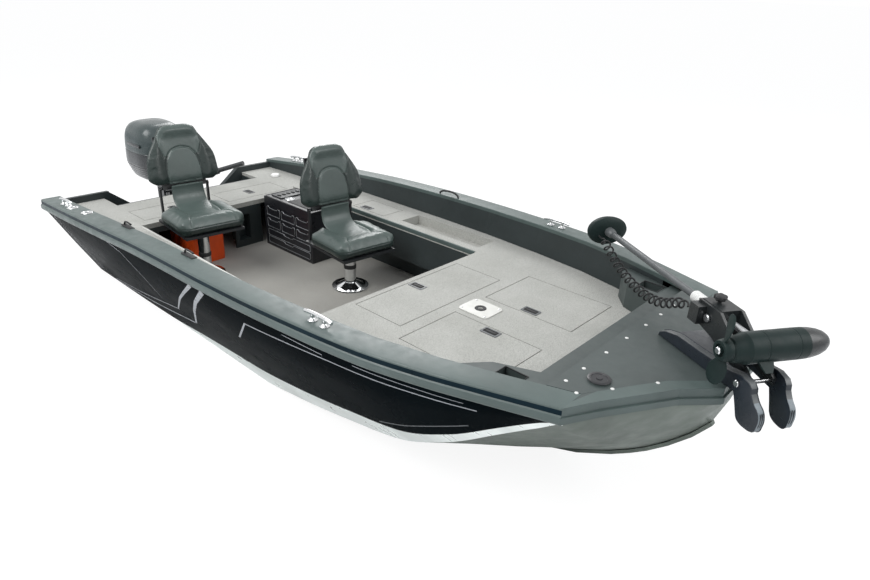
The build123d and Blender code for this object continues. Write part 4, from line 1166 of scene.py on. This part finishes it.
for z in sorted(set(np.concatenate(cowl_levels))):
    aft, fore, half = (f(z) for f in cowl_lines)
    rib = 0.0
    if RIBS_LOW < z < RIBS_HIGH:
        rib = RIB_DEPTH * (0.5 + 0.5 * math.cos((z - RIBS_LOW) / RIB_PITCH * 2 * math.pi))
    centre, reach = (aft + fore) / 2, (fore - aft) / 2 - rib
    rings.append([
        (
            centre + reach * swell(math.cos(a), COWL_SQUARENESS),
            (half - rib) * swell(math.sin(a), COWL_SQUARENESS), z,
        )
        for a in circle(96)
    ])
cowl = loft("outboard_cowl", rings, ["cowl", "motor"], "outboard", angle=50)
refinish(cowl, 1, lambda face: face.center.z < COWL_PARTING)
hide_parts("motor_cowl")
block("cowl_latch", (-0.495, -0.035, 0.7), (-0.478, 0.035, 0.742), 0.004, "rubber", "outboard")
for side in (-1, 1):
    block(
        f"cowl_scoop_{side + 1}", (-0.33, min(side * 0.176, side * 0.187), 0.8),
        (-0.13, max(side * 0.176, side * 0.187), 0.822), 0.004, "motor", "outboard",
    )

# Console: outlined trays and drawers, rim, dial and switch panel
CONSOLE_LENGTH = 0.55
CONSOLE_FRAME = 0.02
CONSOLE_FACE = 0.2638
CONSOLE_TOP = 0.5702


def round_corners(low, high, radius):
    """A rectangle's outline with round corners, as one list of points per corner, in its plane."""
    (u0, v0), (u1, v1) = low, high
    corners = []
    for cu, cv, start in ((u1, v1, 0), (u0, v1, 90), (u0, v0, 180), (u1, v0, 270)):
        angles = [math.radians(start + step * 22.5) for step in range(5)]
        corners.append([(cu + radius * math.cos(a), cv + radius * math.sin(a)) for a in angles])
    return corners


def outline(name, x0, x1, z0, z1, radius):
    """A rounded rectangle of thin rod on the console's starboard face, with a dip in its top side."""
    corner, notch, middle = 0.01, 0.012, (x0 + x1) / 2
    corners = round_corners((x0 + corner, z0 + corner), (x1 - corner, z1 - corner), corner)
    corners[0] += [
        (middle + 0.055, z1), (middle + 0.043, z1 - notch), (middle - 0.043, z1 - notch), (middle - 0.055, z1),
    ]
    points = [(x, CONSOLE_FACE, z) for part in corners for x, z in part]
    tube(name, points, radius, "tray_line", "hull", sides=8, smooth_line=False, closed=True)


TRAYS = 3
TRAY_AFT = 0.82
TRAY_GAP = 0.008
width = (CONSOLE_LENGTH - 2 * CONSOLE_FRAME - (TRAYS - 1) * TRAY_GAP) / TRAYS
for row, (low, high) in enumerate(((-0.228, -0.15), (-0.14, -0.062))):
    for index in range(TRAYS):
        start = TRAY_AFT + index * (width + TRAY_GAP)
        sill, head = DECK_Z + low, DECK_Z + high
        outline(
            f"tray_edge_{row}_{index}", start + 0.006, start + width - 0.005, sill + 0.006, head - 0.009,
            0.0016,
        )
        middle = start + width / 2
        block(
            f"tray_pull_{row}_{index}", (middle - 0.03, 0.259, head - 0.032),
            (middle + 0.03, 0.2645, head - 0.025),
            0.0015, "console", "hull",
        )
for index in range(2):
    low = DECK_Z - 0.352 + index * 0.057
    outline(f"drawer_edge_{index}", 0.829, 1.321, low + 0.005, low + 0.052, 0.0018)
rim_corners = round_corners((0.82, 0.282), (1.33, 0.535), 0.014)
rim_points = [(x, y, CONSOLE_TOP + 0.0003) for part in rim_corners for x, y in part]
tube("console_rim", rim_points, 0.0035, "console", "hull", sides=10, smooth_line=False, closed=True)
block("console_tray_top", (1.04, 0.3, 0.5702), (1.3, 0.515, 0.573), 0.0012, "rubber", "hull")
block("console_switches", (0.84, 0.3, 0.5702), (0.96, 0.515, 0.579), 0.003, "shell", "hull")
for index in range(5):
    y = 0.325 + index * 0.04
    block(
        f"console_switch_{index}", (0.885, y - 0.009, 0.5785), (0.915, y + 0.009, 0.585), 0.002, "rubber",
        "hull",
    )
lathe(
    "console_dial", [(34, 570.2), (36, 573), (34, 576), (30, 576), (29, 572), (0, 572)], "chrome", "hull",
    at(1.0, 0.345, 0), segments=40, slot="console_black",
)

# Side deck edges, latches, clips, rod holders, a cap and a grab handle
block(
    "edge_starboard", (0.874, -0.684, 0.5445), (2.471, -0.669, 0.574), 0.0025, "ledge", "hull",
    slot="bare_aluminium",
)
block(
    "edge_port", (1.36, 0.554, 0.5445), (2.54, 0.565, 0.573), 0.0025, "gunwale", "hull",
    slot="grey_green_gunwale",
)


LATCH_CORNER = 0.007


def flush_latch(label, x, y, z, body):
    """An oblong latch let into a lid: a flat frame, a dark recess and a pull."""
    rings = []
    for half_x, half_y, height in (
        (0.0475, 0.0275, 0.0002), (0.0465, 0.0265, 0.003), (0.037, 0.0175, 0.003), (0.036, 0.0165, 0.0008),
    ):
        ring = []
        for a in circle(24, 0.5):
            c, s = math.cos(a), math.sin(a)
            along = math.copysign(half_x - LATCH_CORNER, c) + LATCH_CORNER * c
            over = math.copysign(half_y - LATCH_CORNER, s) + LATCH_CORNER * s
            ring.append((x + along, y + over, z + height))
        rings.append(ring)
    obj = loft(f"latch_{label}", rings, ["arm_grey", "hole"], body, slot="speckled_carpet")
    place = Vector((x, y, z))

    def in_recess(face):
        """Whether a face of the latch lies in its dark recess."""
        along, over, rise = face.center - place
        return rise < 0.0025 and abs(along) < 0.04 and abs(over) < 0.02

    refinish(obj, 1, in_recess)
    block(
        f"latch_pull_{label}", (x - 0.03, y - 0.004, z + 0.001), (x + 0.03, y + 0.01, z + 0.0028), 0.0006,
        "rubber", body, slot="speckled_carpet",
    )


for label, (x, y, z, body) in {
    "bow_aft": (2.642, -0.041, DECK_Z, "bow_aft_lid"),
    "bow_port": (3.225, 0.158, DECK_Z, "bow_port_lid"),
    "bow_starboard": (3.221, -0.158, DECK_Z, "bow_starboard_lid"),
    "side": (1.499, 0.636, DECK_Z, "side_deck_lid"),
    "aft_port": (0.545, 0.3, AFT_DECK_Z, "aft_port_lid"),
    "aft_starboard": (0.545, -0.3, AFT_DECK_Z, "aft_starboard_lid"),
}.items():
    flush_latch(label, x, y, z, body)


def on_gunwale(x, y):
    """A point on the gunwale's top."""
    return Vector((x, y, DECK_Z + TOP(x)))


for index, (x, y) in enumerate(((1.17, -0.878), (1.856, -0.878))):
    p = on_gunwale(x, y)
    block(
        f"clip_foot_{index}", (x - 0.055, p.y - 0.016, p.z), (x + 0.055, p.y + 0.016, p.z + 0.006), 0.003,
        "rubber", "hull",
    )
    tube(
        f"clip_hook_{index}",
        [
            (x - 0.04, p.y, p.z + 0.004), (x - 0.036, p.y, p.z + 0.024), (x, p.y, p.z + 0.03),
            (x + 0.046, p.y, p.z + 0.026),
        ],
        0.005, "rubber", "hull", sides=12,
    )
for index, (x, y) in enumerate(((0.454, -0.912), (0.664, -0.905))):
    lathe(
        f"rod_holder_{index}",
        [(16, -10), (20, 0.5), (33, 0.5), (35, 2), (33, 4.5), (22, 5.5), (19, 3), (17, -10), (0, -10)],
        "chrome", "hull", Matrix.Translation(on_gunwale(x, y)) @ Matrix.Rotation(math.radians(-4), 4, "Y"),
        segments=40, slot="chrome",
    )
lathe(
    "stern_cap", [(0, 0.3), (36, 0.3), (38, 4), (36, 14), (31, 19), (16, 21), (0, 21)], "white", "hull",
    at(0.311, 0.7, AFT_DECK_Z), segments=40, slot="chrome",
)
handle = [(1.956, 0.882), (1.966, 0.884), (2.04, 0.885), (2.109, 0.884), (2.119, 0.882)]
lifts = (0.002, 0.022, 0.03, 0.022, 0.002)
tube(
    "grab_handle", [tuple(on_gunwale(x, y) + UP * h) for (x, y), h in zip(handle, lifts)], 0.0065, "rubber",
    "hull", sides=12,
)

# Cleats: horned bars on two feet
for index, (x, side) in enumerate(((2.883, -1), (0.337, -1), (2.883, 1), (0.337, 1))):
    y = side * (straight_half(x) - GUNWALE_W / 2)
    p = on_gunwale(x, y)
    slope = (TOP(x + 0.05) - TOP(x - 0.05)) / 0.1
    bar = [
        p + Vector((s, 0, 0.034 + slope * s + lift))
        for s, lift in (
            (-0.085, -0.004), (-0.06, 0.0), (-0.02, 0.002), (0.02, 0.002), (0.06, 0.0), (0.085, -0.004),
        )
    ]
    piece = tube(f"cleat_bar_{index}", bar, 0.0085, "chrome", "hull", sides=16)
    if index == 0:
        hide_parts("cleats")
    for step in (-0.038, 0.038):
        q = on_gunwale(x + step, y)
        lathe(
            f"cleat_foot_{index}_{int(step > 0)}",
            [(0, 0.9), (20, 0.9), (21, 3), (14, 7), (8.5, 14), (8, 30), (0, 30)], "chrome", "hull",
            Matrix.Translation(q), segments=28,
        )

# Bow panel: rivets and the round cap
PANEL_RIVETS = [
    (3.831, 0.36), (3.831, 0.23), (3.831, 0.09), (3.828, -0.072), (3.828, -0.236), (3.827, -0.401),
    (3.825, -0.52), (3.892, -0.56), (3.968, -0.447), (4.064, -0.293), (3.892, 0.56), (3.968, 0.447),
    (4.064, 0.293),
]
for index, (x, y) in enumerate(PANEL_RIVETS):
    lathe(
        f"rivet_{index}", [(7.5, 0.1), (7, 1.6), (4.5, 2.8), (0, 3.2)], "white", "hull", at(x, y, BOW_TOP_Z),
        segments=16, slot="chrome",
    )
lathe(
    "cup_cap", [(42.5, 5), (43, 7.5), (40, 9.5), (30, 9.5), (29, 8), (12, 8), (11, 10.5), (0, 11)], "console",
    "hull", at(3.906, -0.43, BOW_TOP_Z), segments=48,
)
for side_name, side in SIDES.items():
    low, high = sorted((side * 0.535, side * 0.62))
    points = [(3.575, low, 0.7102), (3.68, low, 0.7102), (3.68, high, 0.7102), (3.575, high, 0.7102)]
    tube(f"pocket_rim_{side_name}", points, 0.003, "rubber", "hull", sides=10, smooth_line=False, closed=True)

# Corner fillers between the bow rail and the panel
for side_name, side in SIDES.items():
    bm = bmesh.new()
    plan = [
        (3.896, 0.553), (3.9078, 0.553), (3.9078, 0.618), (3.913, 0.618), (3.958, 0.535), (3.94, 0.49),
        (3.905, 0.546),
    ]
    skin_rings(
        bm, [[bm.verts.new((x, side * y, BOW_TOP_Z - drop)) for x, y in plan] for drop in (0.0005, 0.0055)],
    )
    add_piece(
        f"bow_filler_{side_name}", mesh_of(bm, "bow_filler"), "panel", "hull", smooth=False,
        slot="grey_green_gunwale",
    )

# Seat socket plate screws
SOCKET = (3.04, -0.008)
for dx in (-0.072, 0.072):
    for dy in (-0.058, 0.058):
        lathe(
            f"socket_screw_{int(dx > 0)}{int(dy > 0)}", [(6, 0), (5.6, 1.5), (3.5, 2.4), (0, 2.6)], "chrome",
            "hull", at(SOCKET[0] + dx, SOCKET[1] + dy, DECK_Z + 0.005), segments=16,
        )
lathe(
    "socket_ring", [(12, 5.1), (13, 8.2), (27, 8.2), (30, 5.1)], "rubber", "hull", at(*SOCKET, DECK_Z),
    segments=40, slot="chrome",
)

# Tank: cap, collar, carrying handle and moulded ribs
TANK_TOP = FLOOR_Z + 0.2053
TANK_CAP = (0.77, -0.225)
lathe(
    "tank_cap", [(32.5, 10), (36, 12), (37, 30), (37, 50), (33, 54.5), (0, 55.5)], "rubber", "hull",
    at(*TANK_CAP, TANK_TOP), segments=40, slot="orange_tank",
)
lathe(
    "tank_collar", [(46, 0), (47, 6), (40, 10), (33, 10)], "white", "hull", at(*TANK_CAP, TANK_TOP),
    segments=40, slot="orange_tank",
)
tube(
    "tank_handle",
    [
        (0.545, -0.225, TANK_TOP - 0.004), (0.552, -0.225, TANK_TOP + 0.03), (0.6, -0.225, TANK_TOP + 0.042),
        (0.65, -0.225, TANK_TOP + 0.042), (0.695, -0.225, TANK_TOP + 0.03), (0.702, -0.225, TANK_TOP - 0.004),
    ],
    0.011, "orange", "hull", sides=16, slot="orange_tank",
)
for side in (-1, 1):
    for index in range(3):
        x = 0.6 + index * 0.08
        y = -0.225 + side * 0.12
        block(
            f"tank_rib_{side + 1}_{index}", (x - 0.012, min(y, y + side * 0.003), FLOOR_Z + 0.04),
            (x + 0.012, max(y, y + side * 0.003), FLOOR_Z + 0.165), 0.0012, "orange", "hull",
            slot="orange_tank",
        )

# Seat pedestals: tapered sleeves and base rings
for seat_name, (x, y, z) in SEATS.items():
    lathe(
        f"pedestal_ring_{seat_name}", [(118, 0.5), (119.5, 4), (117, 12.5), (100, 14), (94, 15.5)], "chrome",
        "hull", at(x, y, FLOOR_Z), segments=64,
    )
    lathe(
        f"pedestal_sleeve_{seat_name}", [(36.8, 130), (40, 132), (40.5, 150), (38, 156), (36.8, 158)], "rubber",
        "hull", at(x, y, FLOOR_Z), segments=48, slot="chrome",
    )


# Camera at the photograph's place
VIEW_AZ = math.radians(131.456)
VIEW_DOWN = math.radians(25.21)
VIEW_ROLL = math.radians(2.499)
CAMERA_PLACE = Vector((4.761, -2.3005, 2.0085))
LENS = 26.895
level = math.cos(VIEW_DOWN)
look = Vector((level * math.cos(VIEW_AZ), level * math.sin(VIEW_AZ), -math.sin(VIEW_DOWN)))
right = look.cross(UP).normalized()
above = right.cross(look)
right2 = right * math.cos(VIEW_ROLL) + above * math.sin(VIEW_ROLL)
above2 = above * math.cos(VIEW_ROLL) - right * math.sin(VIEW_ROLL)
cam_data = bpy.data.cameras.new("camera")
cam_data.lens = LENS
cam_data.sensor_width = 36
cam_data.clip_end = 1000
camera = bpy.data.objects.new("camera", cam_data)
bpy.context.collection.objects.link(camera)
pose = Matrix((right2, above2, -look)).transposed().to_4x4()
pose.translation = CAMERA_PLACE
camera.matrix_world = pose
bpy.context.scene.camera = camera
bpy.context.scene.view_settings.view_transform = "Standard"

# World, floor and lights
def maximum(tree, first, second):
    """The larger of two values."""
    node = add_node(tree, "Math", links={0: first, 1: second})
    node.operation = "MAXIMUM"
    return node.outputs[0]


world = bpy.data.worlds.new("world")
bpy.context.scene.world = world
tree = empty_tree(world)
path = add_node(tree, "LightPath").outputs
seen = maximum(tree, path["Is Camera Ray"], path["Is Transmission Ray"])
seen = maximum(tree, seen, path["Is Glossy Ray"])
soft_sky = add_node(tree, "Background", {"Color": (0.86, 0.89, 0.93, 1), "Strength": 0.62})
white_sky = add_node(tree, "Background", {"Color": (1, 1, 1, 1)})
mix_sky = add_node(tree, "MixShader", links={0: seen, 1: soft_sky.outputs[0], 2: white_sky.outputs[0]})
add_node(tree, "OutputWorld", links={0: mix_sky.outputs[0]})

FLOOR_HALF = 400
FLOOR_GLOW_SHARE = 0.8
FLOOR_GLOW = 1.12
floor_mat = bpy.data.materials.new("studio_floor")
tree = empty_tree(floor_mat)
path = add_node(tree, "LightPath").outputs
matte = add_node(tree, "BsdfDiffuse", {"Color": (0.86, 0.86, 0.86, 1)})
glow = add_node(tree, "Emission", {"Strength": FLOOR_GLOW})
scaled = add_node(tree, "Math", {1: FLOOR_GLOW_SHARE}, {0: path["Is Camera Ray"]})
scaled.operation = "MULTIPLY"
glow_mix = add_node(tree, "MixShader", links={0: scaled.outputs[0], 1: matte.outputs[0], 2: glow.outputs[0]})
add_node(tree, "OutputMaterial", links={0: glow_mix.outputs[0]})
bm = bmesh.new()
bmesh.ops.create_grid(bm, x_segments=1, y_segments=1, size=FLOOR_HALF)
floor = add_piece("studio_floor", mesh_of(bm, "studio_floor"), [], None, smooth=False)
floor.data.materials.append(floor_mat)

for label, place, target, size, power in (
    ("key", (1.0, -5.0, 6.0), (2.0, 0, 0.4), 5.0, 430),
    ("fill", (8.0, 2.0, 4.5), (2.5, 0, 0.5), 4.0, 170),
    ("back", (-3.0, 4.5, 5.0), (1.5, 0, 0.6), 4.0, 260),
):
    data = bpy.data.lights.new(label, "AREA")
    data.size = size
    data.energy = power
    lamp = bpy.data.objects.new(label, data)
    bpy.context.collection.objects.link(lamp)
    lamp.location = place
    lamp.rotation_mode = "QUATERNION"
    lamp.rotation_quaternion = (Vector(target) - Vector(place)).to_track_quat("-Z", "Y")
